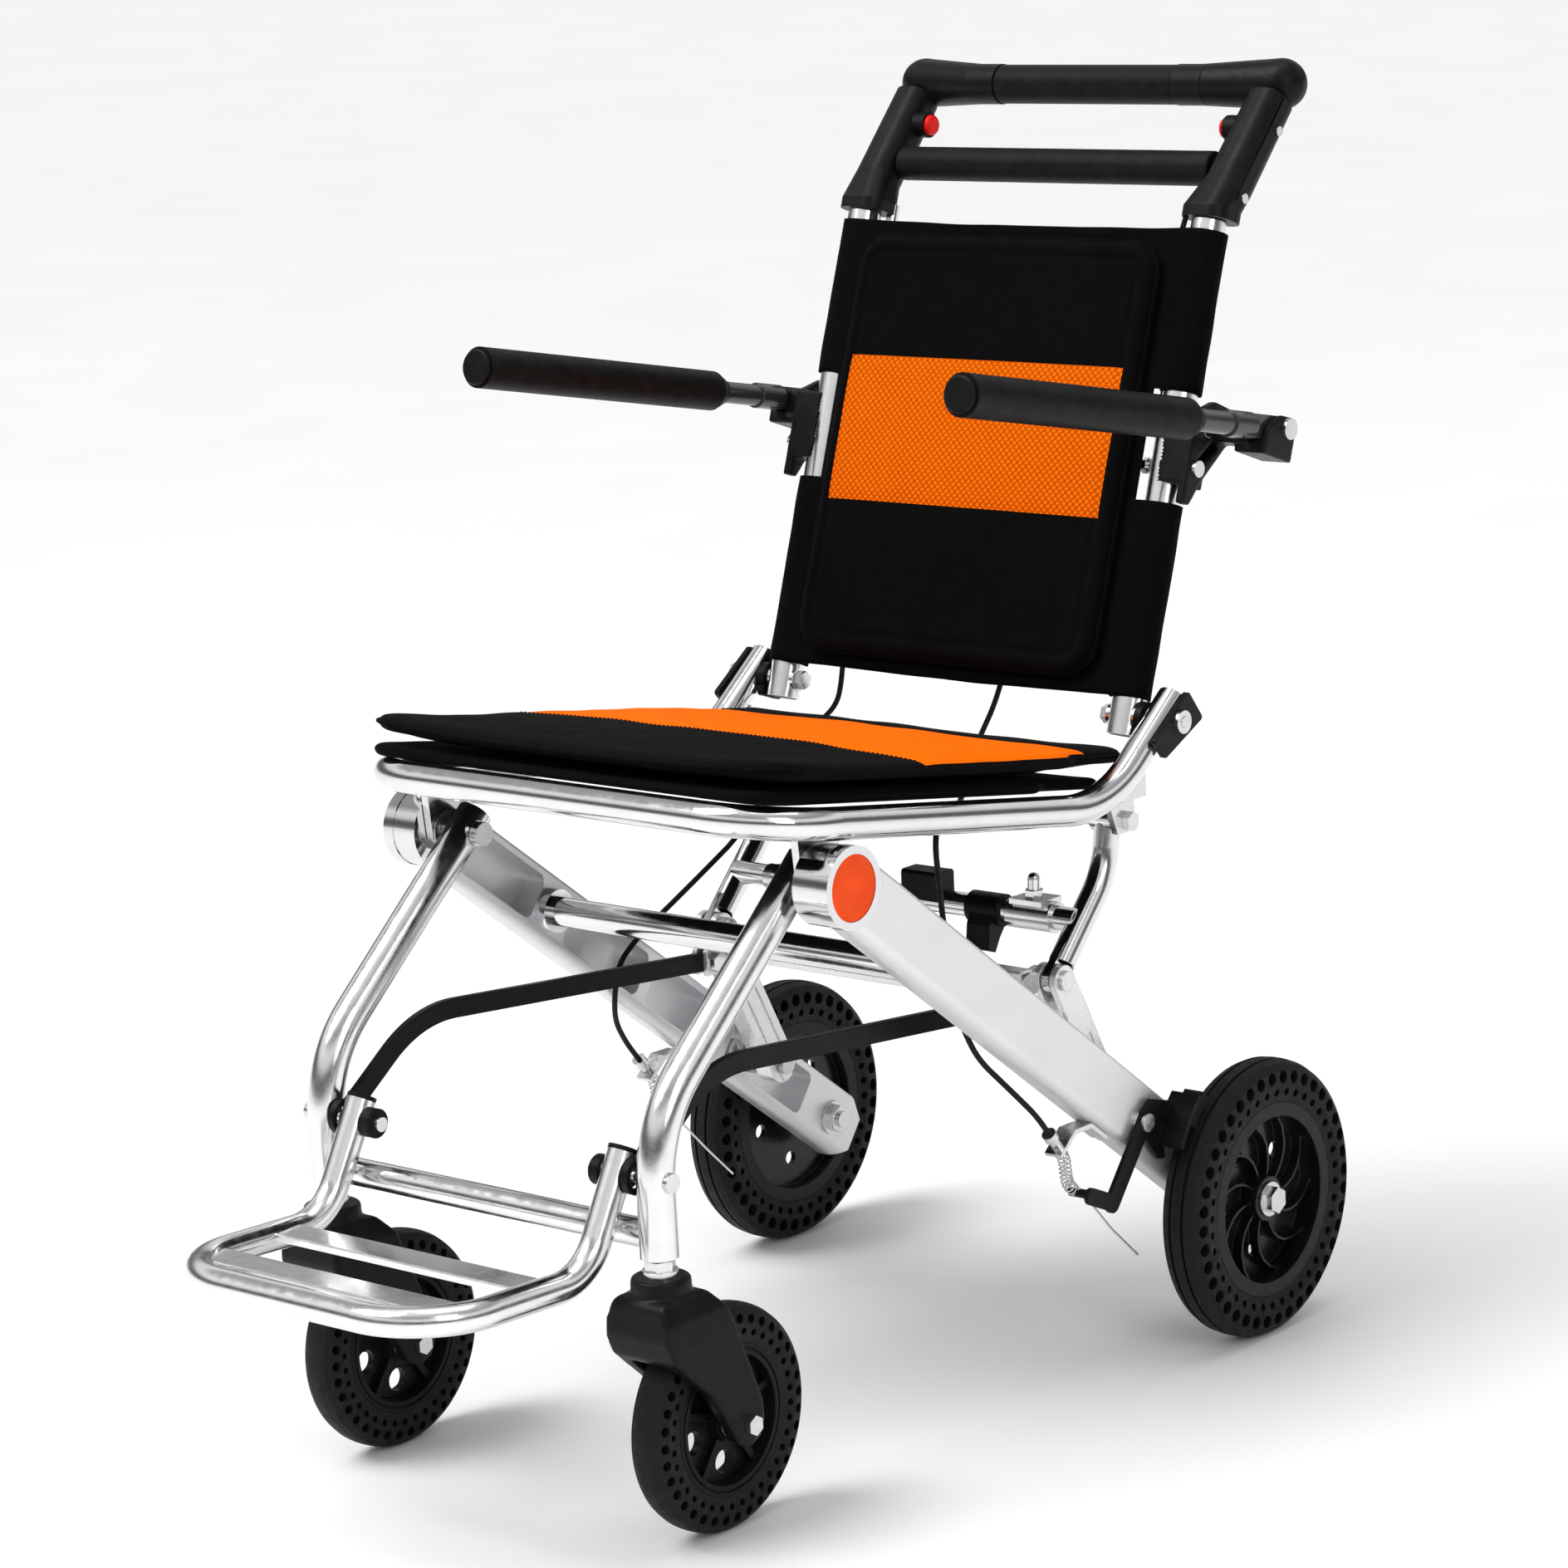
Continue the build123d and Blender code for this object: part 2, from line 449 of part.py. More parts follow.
# ------------------------------------------------------------------ footrest
FR_Z = 188.0
FR_Y = -437.6
fpts = []
arm_top = (-254.0, 258.0)
arm_v = (-295.0, FR_Z - 3)
fpts = [(-FOOT_X, arm_top[0], arm_top[1]), (-FOOT_X, arm_v[0], arm_v[1]), (-FOOT_X, FR_Y, FR_Z + 3),
        (FOOT_X, FR_Y, FR_Z + 3), (FOOT_X, arm_v[0], arm_v[1]), (FOOT_X, arm_top[0], arm_top[1])]
fp = wire_path(fpts, [42.0, 56.0, 56.0, 42.0])
fr = tube(fp, FOOT_R, FOOT_R - 1.5)
for sx in (1, -1):
    a0, a1 = sorted((sx * (FOOT_X - FOOT_R), sx * (FOOT_X + FOOT_R)))
    fr += cylx(a0, a1, FOOT_PIV[0], FOOT_PIV[1], 8.0)
    fr -= cylx(a0 - 2, a1 + 2, FOOT_PIV[0], FOOT_PIV[1], 4.0 + FIT)

# end caps at the top of the arms
adir = Vector(0, arm_top[0] - arm_v[0], arm_top[1] - arm_v[1]).normalized()
caps = []
for sx in (1, -1):
    pl = Plane(origin=(sx * FOOT_X, arm_top[0], arm_top[1]), z_dir=adir)
    caps.append(extrude(pl * Circle(FOOT_R), amount=3.0))
add("footrest_knobs", caps)
# flat slats across
sl = []
fo = tube(fp, FOOT_R + 0.02)
for yy in (-336.0, -404.0):
    s = box(-FOOT_X + 4, FOOT_X - 4, yy - 12.0, yy + 12.0, FR_Z - 1.5 + (-(yy + 292) * 0.0375) - 3 + 1.5, FR_Z + 1.5 + (-(yy + 292) * 0.0375) + 1.0)
    s = fillet(s.edges().filter_by(Axis.X), 1.2)
    sl.append(s)
for s_ in sl:
    fr += s_ - tube(fp, FOOT_R - 1.0)
add("footrest_frame", fr)
# pivot bolts through leg, link and arm, with black knobs on the inner side
fb = []
kn = []
for sx in (1, -1):
    def cc(x0, x1, r):
        lo, hi = sorted((sx * x0, sx * x1))
        return cylx(lo, hi, FOOT_PIV[0], FOOT_PIV[1], r)
    b = cc(97.5, LEG_X + LEG_R, 4.0)
    b += cc(LEG_X + LEG_R - 1.2, LEG_X + LEG_R + 2.2, 6.5)
    b += cc(94.0, 98.5, 5.0)
    fb.append(b)
    k = cc(98.6, 106.0, 10.0) - cc(98, 107, 4.0 + FIT)
    kn.append(k)
add("footrest_bolts", fb)
add("footrest_knobs", kn)

# ------------------------------------------------------------------ casters
def fork():
    y0 = 0.0          # stem axis
    yw, zw = CASTER_TRAIL, CASTER_R
    side = [(-20, 172), (20, 172), (34, 158), (yw + 14.5, 88), (yw + 15.5, zw), (yw + 11.0, zw - 11.0), (yw, zw - 15.5),
            (yw - 10.5, zw - 11.5), (yw - 15.0, zw - 2), (12.0, 104), (-8.0, 122), (-20.0, 133), (-26.0, 148), (-24, 168)]
    w = make_face(Polyline(*[(-29.0, p[0], p[1]) for p in side], close=True))
    w = fillet(w.vertices().filter_by(lambda q: q.Z > 75.0), 7.0)
    a = extrude(w, amount=58.0, dir=(1, 0, 0))
    front = [(-20.5, 173), (20.5, 173), (26.0, 158), (27.5, 140), (27.5, 55), (-27.5, 55), (-27.5, 140), (-26.0, 158)]
    w2 = make_face(Polyline(*[(p[0], -60.0, p[1]) for p in front], close=True))
    w2 = fillet(w2.vertices().filter_by(lambda q: q.Z > 100.0), 7.0)
    b = extrude(w2, amount=160.0, dir=(0, 1, 0))
    f = a & b
    f -= cylx(-16.5, 16.5, yw, zw, CASTER_R + 5.0)
    # lighten the arms towards the axle on the inner side
    f -= cylx(-40, 40, yw, zw, 4.0 + 0.0)
    f -= cylz(0, 0, 100, 200, 6.0)
    col = cylz(0, 0, 171.0, 183.0, 19.5)
    col = fillet(col.edges().filter_by(GeomType.CIRCLE).sort_by(Axis.Z)[-1], 2.5)
    f += col - cylz(0, 0, 100, 200, 6.0)
    return f


def caster_tyre():
    hw = CASTER_W / 2
    prof = [(50.2, -hw + 1.5), (62.0, -hw), (69.0, -hw + 1.2), (73.2, -hw + 4.6), (74.7, -hw + 9.0), (CASTER_R, -1.5),
            (CASTER_R, 1.5), (74.7, hw - 9.0), (73.2, hw - 4.6), (69.0, hw - 1.2), (62.0, hw), (50.2, hw - 1.5)]
    w = Polyline(*[(x, 0, r) for r, x in prof], close=True)
    t = revolve(make_face(w), Axis.X)
    n = 36
    cut = []
    for i in range(n):
        a = 2 * pi * i / n
        cut.append(Pos(0, 65.6 * cos(a), 65.6 * sin(a)) * Rot(0, 90, 0) * Cylinder(3.2, CASTER_W + 2))
        b = a + pi / n
        cut.append(Pos(0, 57.4 * cos(b), 57.4 * sin(b)) * Rot(0, 90, 0) * Cylinder(2.3, CASTER_W + 2))
    return t - cut


def caster_rim():
    prof = [(43.0, 12.2), (46.0, 12.2), (46.0, 11.0), (47.5, 11.0), (47.5, 12.2), (50.0, 12.2), (50.0, -12.2), (47.5, -12.2),
            (47.5, -11.0), (46.0, -11.0), (46.0, -12.2), (43.0, -12.2), (41.0, -3.0), (16.0, -3.0), (14.0, -12.5), (11.05, -12.5),
            (11.05, 12.5), (14.0, 12.5), (16.0, 3.0), (41.0, 3.0)]
    w = Polyline(*[(x, 0, r) for r, x in prof], close=True)
    b = revolve(make_face(w), Axis.X)
    sp = []
    for i in range(5):
        a = 72.0 * i
        sp.append(Rot(a, 0, 0) * Pos(0, 0, 28.5) * Box(16.0, 5.0, 28.0))
    b = b + sp
    v = []
    for i in range(5):
        a = 72.0 * i + 36.0
        v.append(Rot(a, 0, 0) * Pos(0, 0, 30.0) * Rot(0, 90, 0) * Cylinder(8.0, 8.0))
    return b - v


fk_ = fork()
ct = caster_tyre()
cr = caster_rim()
for side, sx in (("left", 1), ("right", -1)):
    L0 = Pos(sx * LEG_X, leg_vx[0], 0)
    LW = Pos(sx * LEG_X, leg_vx[0] + CASTER_TRAIL, CASTER_R)
    add("caster_fork_" + side, L0 * fk_)
    add("caster_tyre_" + side, LW * ct)
    add("caster_rim_" + side, LW * cr)
    # stem with its nut, turning in the housing of the leg
    st = cylz(0, 0, 160.0, LEG_END_Z + 30.0, 6.0)
    st += cylz(0, 0, 183.0, 187.0, 11.5)
    st += Pos(0, 0, 187.0) * extrude(RegularPolygon(9.0, 6, major_radius=False), amount=6.5)
    st += cylz(0, 0, LEG_END_Z + 28.2, LEG_END_Z + 32.0, 8.0)
    st += cylz(0, 0, 155.0, 160.0, 6.0)
    add("caster_bolts_" + side, L0 * st)
    # axle bolt through fork and wheel
    ab = cylx(-30.5, 30.5, CASTER_TRAIL, CASTER_R, 4.0) + hexx(27.5, 33.0, CASTER_TRAIL, CASTER_R, 12.0) + hexx(-33.0, -27.5, CASTER_TRAIL, CASTER_R, 12.0)
    ab += ringx(13.0, 16.4, CASTER_TRAIL, CASTER_R, 7.0, 3.9) + ringx(-16.4, -13.0, CASTER_TRAIL, CASTER_R, 7.0, 3.9)
    add("caster_bolts_" + side, L0 * ab)
    for b0 in (-12.5, 5.5):
        add("caster_bolts_" + side, LW * ringx(b0, b0 + 7.0, 0, 0, 11.0, 4.05))

# ------------------------------------------------------------------ backrest (built upright, then leaned)
LEAN = Pos(0, BACK_PIV[0], BACK_PIV[1]) * Rot(-BACK_TILT, 0, 0)


def post(sx):
    x = sx * POST_X
    t = cylz(x, 0, -14.0, POST_LEN, POST_R) - cylz(x, 0, -15.0, POST_LEN + 1, POST_R - 1.8)
    t += cylx(x - POST_R, x + POST_R, 0, 0, 8.5)
    t -= cylx(x - 14, x + 14, 0, 0, 4.0 + FIT)
    for ty_, tz_ in ((0.0, 205.0), (-4.0, 176.0)):
        t -= cylx(x - 14, x + 14, ty_, tz_, 3.02)
    return t


add("back_posts", [LEAN * post(1), LEAN * post(-1)])
# hinge bracket: plate outside the rail end and a block round the inner side
hb = []
tiltp = lambda y, z: (y, z)
for sx in (1, -1):
    o = Pos(0, 0, 0)
    p1 = plate([(256.0, 471.5), (272.5, 450.0), (226.5, 429.0), (214.5, 443.0)], 196.4, 200.4)
    p1 = fillet(p1.edges().filter_by(Axis.X), 2.5)
    p1 = LEAN.inverse() * p1
    p1 -= cylx(190, 205, 0, 0, 4.0)
    p2 = cylx(168.2, 173.6, 0, 0, 11.2) + fillet(box(168.2, 173.6, -8.0, 14.0, -15.0, 5.0).edges().filter_by(Axis.X), 3.0) - cylx(160, 180, 0, 0, 4.0)
    s = [p1, p2]
    if sx < 0:
        s = [mir(q) for q in s]
    hb.extend([LEAN * q for q in s])
add("seat_brackets", hb)
hbl = cylx(138.5, 205.0, 0, 0, 4.0) + cylx(200.5, 204.2, 0, 0, 8.2) + hexx(136.5, 142.2, 0, 0, 12.0)
add("seat_frame_bolts", [LEAN * hbl, LEAN * mir(hbl)])

# backrest sling: fabric panel in front of the posts with a sleeve round each post above and below the side cut-outs
SL_Y1, SL_Y0 = -13.2, -17.2
sg = box(-155.0, 155.0, SL_Y0, SL_Y1, 12.0, 344.0)
for sx in (1, -1):
    for z0, z1 in ((12.0, 150.0), (229.0, 344.0)):
        sg += cylz(sx * POST_X, 0, z0, z1, -SL_Y0)
for sx in (1, -1):
    sg -= cylz(sx * POST_X, 0, 0.0, 360.0, POST_R + 0.3)
    a0, a1 = sorted((sx * 141.0, sx * 180.0))
    sg -= box(a0, a1, SL_Y0 - 1, 20.0, 150.0, 229.0)
    a0, a1 = sorted((sx * 133.0, sx * 152.6))
    for z0 in (222.0, 318.0):
        sg -= box(a0, a1, 3.6, 22.0, z0 - 0.4, z0 + 14.4)
    sg -= cylz(sx * 140.0, 13.5, 0.0, 360.0, 5.2)
    sg -= cylz(sx * 140.0, 13.5, 90.0, 200.0, 7.2)
assert len(sg.solids()) == 1
add("backrest_sling", LEAN * sg)
pd = box(-133.0, 133.0, SL_Y0 - 12.3, SL_Y0 - 0.3, 22.0, 331.0)
pd = fillet(pd.edges().filter_by(Axis.Y), 26.0)
pd = fillet(pd.faces().sort_by(Axis.Y)[0].edges(), 4.0)
add("backrest_pad", LEAN * pd)

# armrest brackets: clamp saddle on the post, web outwards and a clevis at the rear
ay = (ARM_PIV[0] - BACK_PIV[0]) * cos(radians(BACK_TILT)) - (ARM_PIV[1] - BACK_PIV[1]) * sin(radians(BACK_TILT))
az = (ARM_PIV[0] - BACK_PIV[0]) * sin(radians(BACK_TILT)) + (ARM_PIV[1] - BACK_PIV[1]) * cos(radians(BACK_TILT))


def arm_bracket():
    s = box(150.0, 174.0, -13.0, 18.0, 164.0, 214.0) - cylz(POST_X, 0, 150, 230, POST_R + 0.02)
    s -= box(140.0, POST_X, -20, 30, 150, 230)
    # web reaching back and out to the clevis
    web = plate([(-13, 150), (-13, 214), (8, 226), (ay + 10, az + 9), (ay + 11, az - 10), (ay - 6, az - 16), (6, 168), (-4, 150)], 174.0, 181.0)
    web -= slot_bar((0, 180), (14, 196), 7.0, 170, 185)
    s += web
    # step out to the clevis cheeks
    s += plate([(8, 198), (8, 216), (ay + 9, az + 8), (ay + 10, az - 9), (ay - 8, az - 16)], 180.9, 206.0)
    s += plate([(ay - 24, az - 22), (ay - 24, az - 6), (ay + 12, az - 6), (ay + 12, az - 22)], 199.0, 224.5)
    s += plate([(ay - 24, az - 22), (ay - 24, az - 4), (ay - 9, az + 8), (ay + 6, az + 9), (ay + 12, az + 2), (ay + 12, az - 22)], 220.2, 224.5)
    s -= cylx(206.2, 220.1, ay, az, 9.4)
    # slot for the arm at rest, square to its own axis
    la = atan2(-51.9, -355.7)
    sl_ = slot_bar((ay, az), (ay + 60 * cos(la), az + 60 * sin(la)), 17.8, 206.2, 220.1)
    s -= sl_
    s -= cylx(190.0, 230.0, ay, az, 4.02)
    for ty_, tz_ in ((0.0, 205.0), (-4.0, 176.0)):
        s -= cylx(130.0, 185.0, ty_, tz_, 3.02)
        s -= cylx(181.0, 190.0, ty_, tz_, 6.2)
    return s


ab_ = arm_bracket()
add("arm_brackets", [LEAN * ab_, LEAN * mir(ab_)])
acb = cylx(137.0, 182.5, 0.0, 205.0, 3.0) + cylx(181.1, 184.5, 0.0, 205.0, 6.0) + hexx(137.0, 142.0, 0.0, 205.0, 10.0)
acb2 = cylx(137.0, 182.5, -4.0, 176.0, 3.0) + cylx(181.1, 184.5, -4.0, 176.0, 6.0) + hexx(137.0, 141.6, -4.0, 176.0, 10.0)
for b_ in (acb, acb2):
    add("arm_bracket_bolts", [LEAN * b_, LEAN * mir(b_)])
apb = cylx(196.0, 226.0, ay, az, 4.0) + cylx(224.7, 228.0, ay, az, 7.5)
add("arm_bracket_bolts", [LEAN * apb, LEAN * mir(apb)])

# ------------------------------------------------------------------ armrests (tube, pad, cap)
AR_FRONT = (-4.0, 711.0)
adx = Vector(0, AR_FRONT[0] - ARM_PIV[0], AR_FRONT[1] - ARM_PIV[1])
AR_L = adx.length
ARMP = Plane(origin=(ARM_X, ARM_PIV[0], ARM_PIV[1]), z_dir=adx.normalized(), x_dir=(1, 0, 0))
# local: z along the armrest to the front, x outboard
arm_core = extrude(Circle(8.0), amount=AR_L - 6.0 - 36.0)
arm_core = Pos(0, 0, 36.0) * arm_core
tongue = Pos(0, 0, 18.0) * Box(12.6, 16.0, 52.0)
tongue = Pos(0, 0, 0) * Box(12.6, 17.0, 1.0)
tongue = Pos(0, 0, 22.0) * Box(12.6, 17.0, 44.0) + Rot(0, 90, 0) * Cylinder(8.5, 12.6)
tongue += Pos(0, 0, 44.0) * Cylinder(9.5, 26.0)
tongue -= Rot(0, 90, 0) * Cylinder(4.0 + FIT, 30.0)
core = arm_core + tongue
foam = Pos(0, 0, 108.0) * extrude(Circle(14.6) - Circle(8.05), amount=AR_L - 108.0 - 3.0)
taper = Pos(0, 0, 96.0) * Cone(9.2, 14.6, 12.0, align=(Align.CENTER, Align.CENTER, Align.MIN)) - Cylinder(8.05, 400.0)
foam = foam + taper
capf = Pos(0, 0, AR_L - 2.9) * extrude(Circle(12.6), amount=3.6) + Pos(0, 0, AR_L - 5.9) * extrude(Circle(7.9), amount=3.1)
capf = fillet(capf.faces().sort_by(Axis.Z)[-1].edges(), 1.6)
for side, f in (("left", lambda s: s), ("right", mir)):
    add("armrest_tube_" + side, f(ARMP * core))
    add("armrest_grip_" + side, f(ARMP * foam))
    add("armrest_tube_" + side, f(ARMP * capf))

# ------------------------------------------------------------------ handle
# sleeve axis starts over the post top and leans further back
SB = (0.0, POST_LEN + 1.0)                     # in the backrest's own frame (y, z)
sa = radians(SLEEVE_TILT - BACK_TILT)
SLV_L = 98.0
sdir = (sin(sa), cos(sa))
grip = (42.5, 461.0)                           # grip bar axis
ball = (52.0, 464.3)                           # elbow bulge centre, behind the sleeve top
ROD_X, ROD_Y, ROD_R = 140.0, 13.5, 4.5


def sleeve(sx):
    # straight rounded sleeve, a little wider at its open lower end where the rod enters beside the post
    lowb = extrude(Plane(origin=(154.5, 2.0, SB[1])) * RectangleRounded(37.0, 35.0, 12.0), amount=8.0)
    lo = Plane(origin=(154.5, 2.0, SB[1] + 8.0)) * RectangleRounded(37.0, 35.0, 12.0)
    hi = Plane(origin=(158.0, SB[0] + sdir[0] * 30, SB[1] + sdir[1] * 30), z_dir=(0, sdir[0], sdir[1]), x_dir=(1, 0, 0)) * RectangleRounded(31.0, 32.0, 12.0)
    top = Plane(origin=(159.5, SB[0] + sdir[0] * (SLV_L + 8), SB[1] + sdir[1] * (SLV_L + 8)), z_dir=(0, sdir[0], sdir[1]), x_dir=(1, 0, 0)) * RectangleRounded(30.0, 31.0, 12.0)
    body = loft([lo.faces()[0], hi.faces()[0]]) + loft([hi.faces()[0], top.faces()[0]])
    s = lowb + body
    # lengthwise groove on the outer face
    gv = plate([(SB[0] + sdir[0] * t + sdir[1] * w, SB[1] + sdir[1] * t - sdir[0] * w) for t, w in ((14, -6.5), (104, -6.5), (104, -4.5), (14, -4.5))], 172.6, 180.0)
    s -= gv
    s -= cylz(ROD_X, ROD_Y, SB[1] - 1, SB[1] + 8.0, ROD_R + 0.03)
    return s


slv = sleeve(1)
# button seat on the inner side
bty, btz = SB[0] + sdir[0] * 81.0, SB[1] + sdir[1] * 81.0
slv += cylx(135.0, 150.0, bty, btz, 9.4)
slv -= cylx(130.0, 148.0, bty, btz, 7.6)
# brake bar slot
bby, bbz = SB[0] + sdir[0] * 45.0, SB[1] + sdir[1] * 45.0
sltd = cylx(130.0, 150.0, bby, bbz, 6.04)
slv -= sltd
# elbow: collar from the grip that swells into a ball behind the sleeve top
ELB_X = 80.0
elb = cylx(ELB_X, ELB_X + 26.0, grip[0], grip[1], 14.9)
ea, eb = Vector(ELB_X + 20.0, grip[0], grip[1]), Vector(160.5, ball[0], ball[1])
ed = eb - ea
elb += Plane(origin=ea, z_dir=ed.normalized()) * Cone(14.9, 18.2, ed.length, align=(Align.CENTER, Align.CENTER, Align.MIN))
elb += Pos(eb.X, eb.Y, eb.Z) * Sphere(18.3)
slv_full = slv + elb
add("handle_sleeves", [LEAN * slv_full, LEAN * mir(slv_full)])
# sleeve screws on the outer side
for t_, w_ in ((20.0, 1.0), (82.0, 4.0)):
    sc_ = cylx(172.0, 176.2, SB[0] + sdir[0] * t_ + sdir[1] * w_, SB[1] + sdir[1] * t_ - sdir[0] * w_, 3.6)
    sc_ = LEAN * (sc_ - slv_full)
    add("handle_rods", [max(q.solids(), key=lambda k: k.volume) for q in (sc_, mir(sc_))])
gb = cylx(-ELB_X + 0.2, ELB_X - 0.2, grip[0], grip[1], 14.3)
gb = fillet(gb.edges(), 1.5)
add("grip_bar", LEAN * gb)
# trolley rods behind the posts
rod = cylz(ROD_X, ROD_Y, 96.0, SB[1] + 7.9, ROD_R) + cylz(ROD_X, ROD_Y, 92.0, 96.5, 6.5)
add("handle_rods", [LEAN * rod, LEAN * mir(rod)])
# guides on the posts
gd = []
for z0 in (222.0, 318.0):
    g = box(133.5, 152.0, 4.0, 21.5, z0, z0 + 14.0)
    g = fillet(g.edges().filter_by(Axis.Z), 3.0)
    g -= cylz(POST_X, 0, z0 - 1, z0 + 15, POST_R + 0.02)
    g -= cylz(ROD_X, ROD_Y, z0 - 1, z0 + 15, ROD_R + 0.08)
    gd += [LEAN * g, LEAN * mir(g)]
add("rod_guides", gd)
# buttons
bt = cylx(130.6, 146.0, bty, btz, 7.5)
bt = fillet(bt.faces().sort_by(Axis.X)[0].edges(), 2.4)
add("handle_button_left", LEAN * bt)
add("handle_button_right", LEAN * mir(bt))
# brake bar with foam cover
bb = cylx(-150.0, 150.0, bby, bbz, 6.0)
add("brake_bar", LEAN * bb)
bf = ringx(-140.5, 140.5, bby, bbz, 12.5, 6.05)
bf = fillet(bf.edges().filter_by(GeomType.CIRCLE).group_by(SortBy.RADIUS)[-1], 2.0)
add("brake_bar_foam", LEAN * bf)

# ------------------------------------------------------------------ seat soft parts
SP = Pos(0, 0, 0) * Plane(origin=(0, 20.0, zr(20.0) + RAIL_R), z_dir=(0, -SEAT_SLOPE / sqrt(1 + SEAT_SLOPE ** 2), 1 / sqrt(1 + SEAT_SLOPE ** 2)), x_dir=(1, 0, 0))
def seat_pad(w0, w1, v0, va, vb, v1, z0, z1, rf, rb):
    """outline: half width w0 over the rails, narrowed to w1 between the rising arms"""
    pts_ = [(w0, v0), (w0, va), (w1, vb), (w1, v1), (-w1, v1), (-w1, vb), (-w0, va), (-w0, v0)]
    q = extrude(Plane((0, 0, z0)) * make_face(Polyline(*pts_, close=True)), amount=z1 - z0)
    ed_ = q.edges().filter_by(Axis.Z)
    q = fillet(ed_.filter_by(lambda e: e.center().Y < v0 + 1), rf)
    q = fillet(q.edges().filter_by(Axis.Z).filter_by(lambda e: e.center().Y > v1 - 1), rb)
    return q


ss = seat_pad(184.0, 172.6, -198.0, 92.0, 110.0, 176.0, 0.4, 9.4, 30.0, 12.0)
add("seat_sling", SP * ss)
sc = seat_pad(186.0, 171.4, -192.0, 118.0, 138.0, 202.0, 9.8, 25.8, 32.0, 14.0)
sc = fillet(sc.faces().sort_by(Axis.Z)[-1].edges(), 5.0)
add("seat_cushion", SP * sc)

# ------------------------------------------------------------------ fold lock on the cross tube
lkx = 78.0
col = ringx(lkx - 14, lkx + 14, XS[0], XS[1], 11.5, 8.5 + FIT)
lv = plate([(XS[0] - 10, XS[1] + 2), (XS[0] - 4, XS[1] + 9), (XS[0] + 8, XS[1] + 7), (XS[0] + 9, XS[1] - 5), (XS[0] - 3, XS[1] - 19), (XS[0] - 9, XS[1] - 29), (XS[0] - 17, XS[1] - 26), (XS[0] - 15, XS[1] - 9)], lkx - 9, lkx + 11)
lv -= cylx(lkx - 20, lkx + 20, XS[0], XS[1], 8.5 + FIT)
add("fold_lever", col + lv)
blk = box(9, 41, XS[0] - 12, XS[0] + 8, XS[1] + 2, XS[1] + 23) - cylx(0, 60, XS[0], XS[1], 8.52)
add("fold_latch", fillet(blk.edges().filter_by(Axis.X).sort_by(Axis.Z)[-2:], 3.0))
# latch clamp and upright bolt on the cross tube
clp = ringx(99, 137, XS[0], XS[1], 11.2, 8.52)
clp += box(104, 132, XS[0] - 11, XS[0] + 13, XS[1] + 8.6, XS[1] + 12.6)

lbz = cylz(118, XS[0], XS[1] + 9.6, XS[1] + 27.0, 3.0) + Pos(118, XS[0], XS[1] + 12.7) * extrude(RegularPolygon(6.0, 6, major_radius=False), amount=5.5) + cylz(118, XS[0], XS[1] + 18.0, XS[1] + 26.0, 4.6) + Pos(118, XS[0], XS[1] + 26.0) * Sphere(4.3)
clp2 = cylz(118, XS[0], XS[1] + 9.6, XS[1] + 16, 3.0)
add("fold_latch", clp - clp2)
add("fold_latch", lbz)

# ------------------------------------------------------------------ brakes
def brake_lever():
    c, h, pv = (148.0, 131.0), (124.0, 142.0), BRAKE_PIV
    L = slot_bar(pv, c, 14.0, 198.8, 202.0) + slot_bar(c, h, 12.0, 198.8, 202.0)
    L -= cylx(190, 210, pv[0], pv[1], 4.0 + FIT)
    L += cylx(183.0, 199.5, h[0], h[1] + 1.0, 3.2)
    def arc(r, a0, a1, n=14):
        return [(AXLE[0] + r * cos(radians(a0 + (a1 - a0) * i / n)), AXLE[1] + r * sin(radians(a0 + (a1 - a0) * i / n))) for i in range(n + 1)]
    # shoe and carrier are laid out in the applied position, then turned back to rest
    car = plate(arc(108.4, 128, 149) + arc(113.0, 149, 128), 198.8, 222.0)
    tie = plate([(pv[0] - 7, pv[1] - 3), (pv[0] - 3, pv[1] + 7.5), (pv[0] + 9, pv[1] + 14.0)] + arc(113.0, 132, 128) + arc(106.0, 128, 146) + [(206.0, 146.0), (198.5, 148.0)], 198.8, 202.0)
    shoe = plate(arc(100.8, 125, 139) + arc(108.28, 139, 125), 204.5, 221.0)
    stud = Pos(0, AXLE[0], AXLE[1]) * Rot(48.5, 0, 0) * cylz(209.0, 0, 112.9, 115.6, 4.0)
    turn = Pos(0, pv[0], pv[1]) * Rot(BRAKE_TRAVEL, 0, 0) * Pos(0, -pv[0], -pv[1])
    L += turn * (car + tie + stud)
    L -= cylx(190, 204, pv[0], pv[1], 4.0 + FIT)
    return L, turn * shoe


lev, shoe = brake_lever()
tail = tube(wire_path([(187.0, 127.6, 141.2), (187.0, 141.0, 131.0), (186.0, 166.0, 105.0), (187.0, 194.0, 79.0)], [20.0, 60.0]), 0.8)
for side, f in (("left", lambda s: s), ("right", mir)):
    add("brake_lever_" + side, [f(lev), f(tail)])
    add("brake_shoe_" + side, f(shoe))
bpb = cylx(BEAM_X0 + 1, 204.5, BRAKE_PIV[0], BRAKE_PIV[1], 4.0) + cylx(202.3, 205.0, BRAKE_PIV[0], BRAKE_PIV[1], 6.5) + ringx(BEAM_X1 + 0.1, 198.6, BRAKE_PIV[0], BRAKE_PIV[1], 7.0, 3.9)
add("frame_bolts", both(bpb))
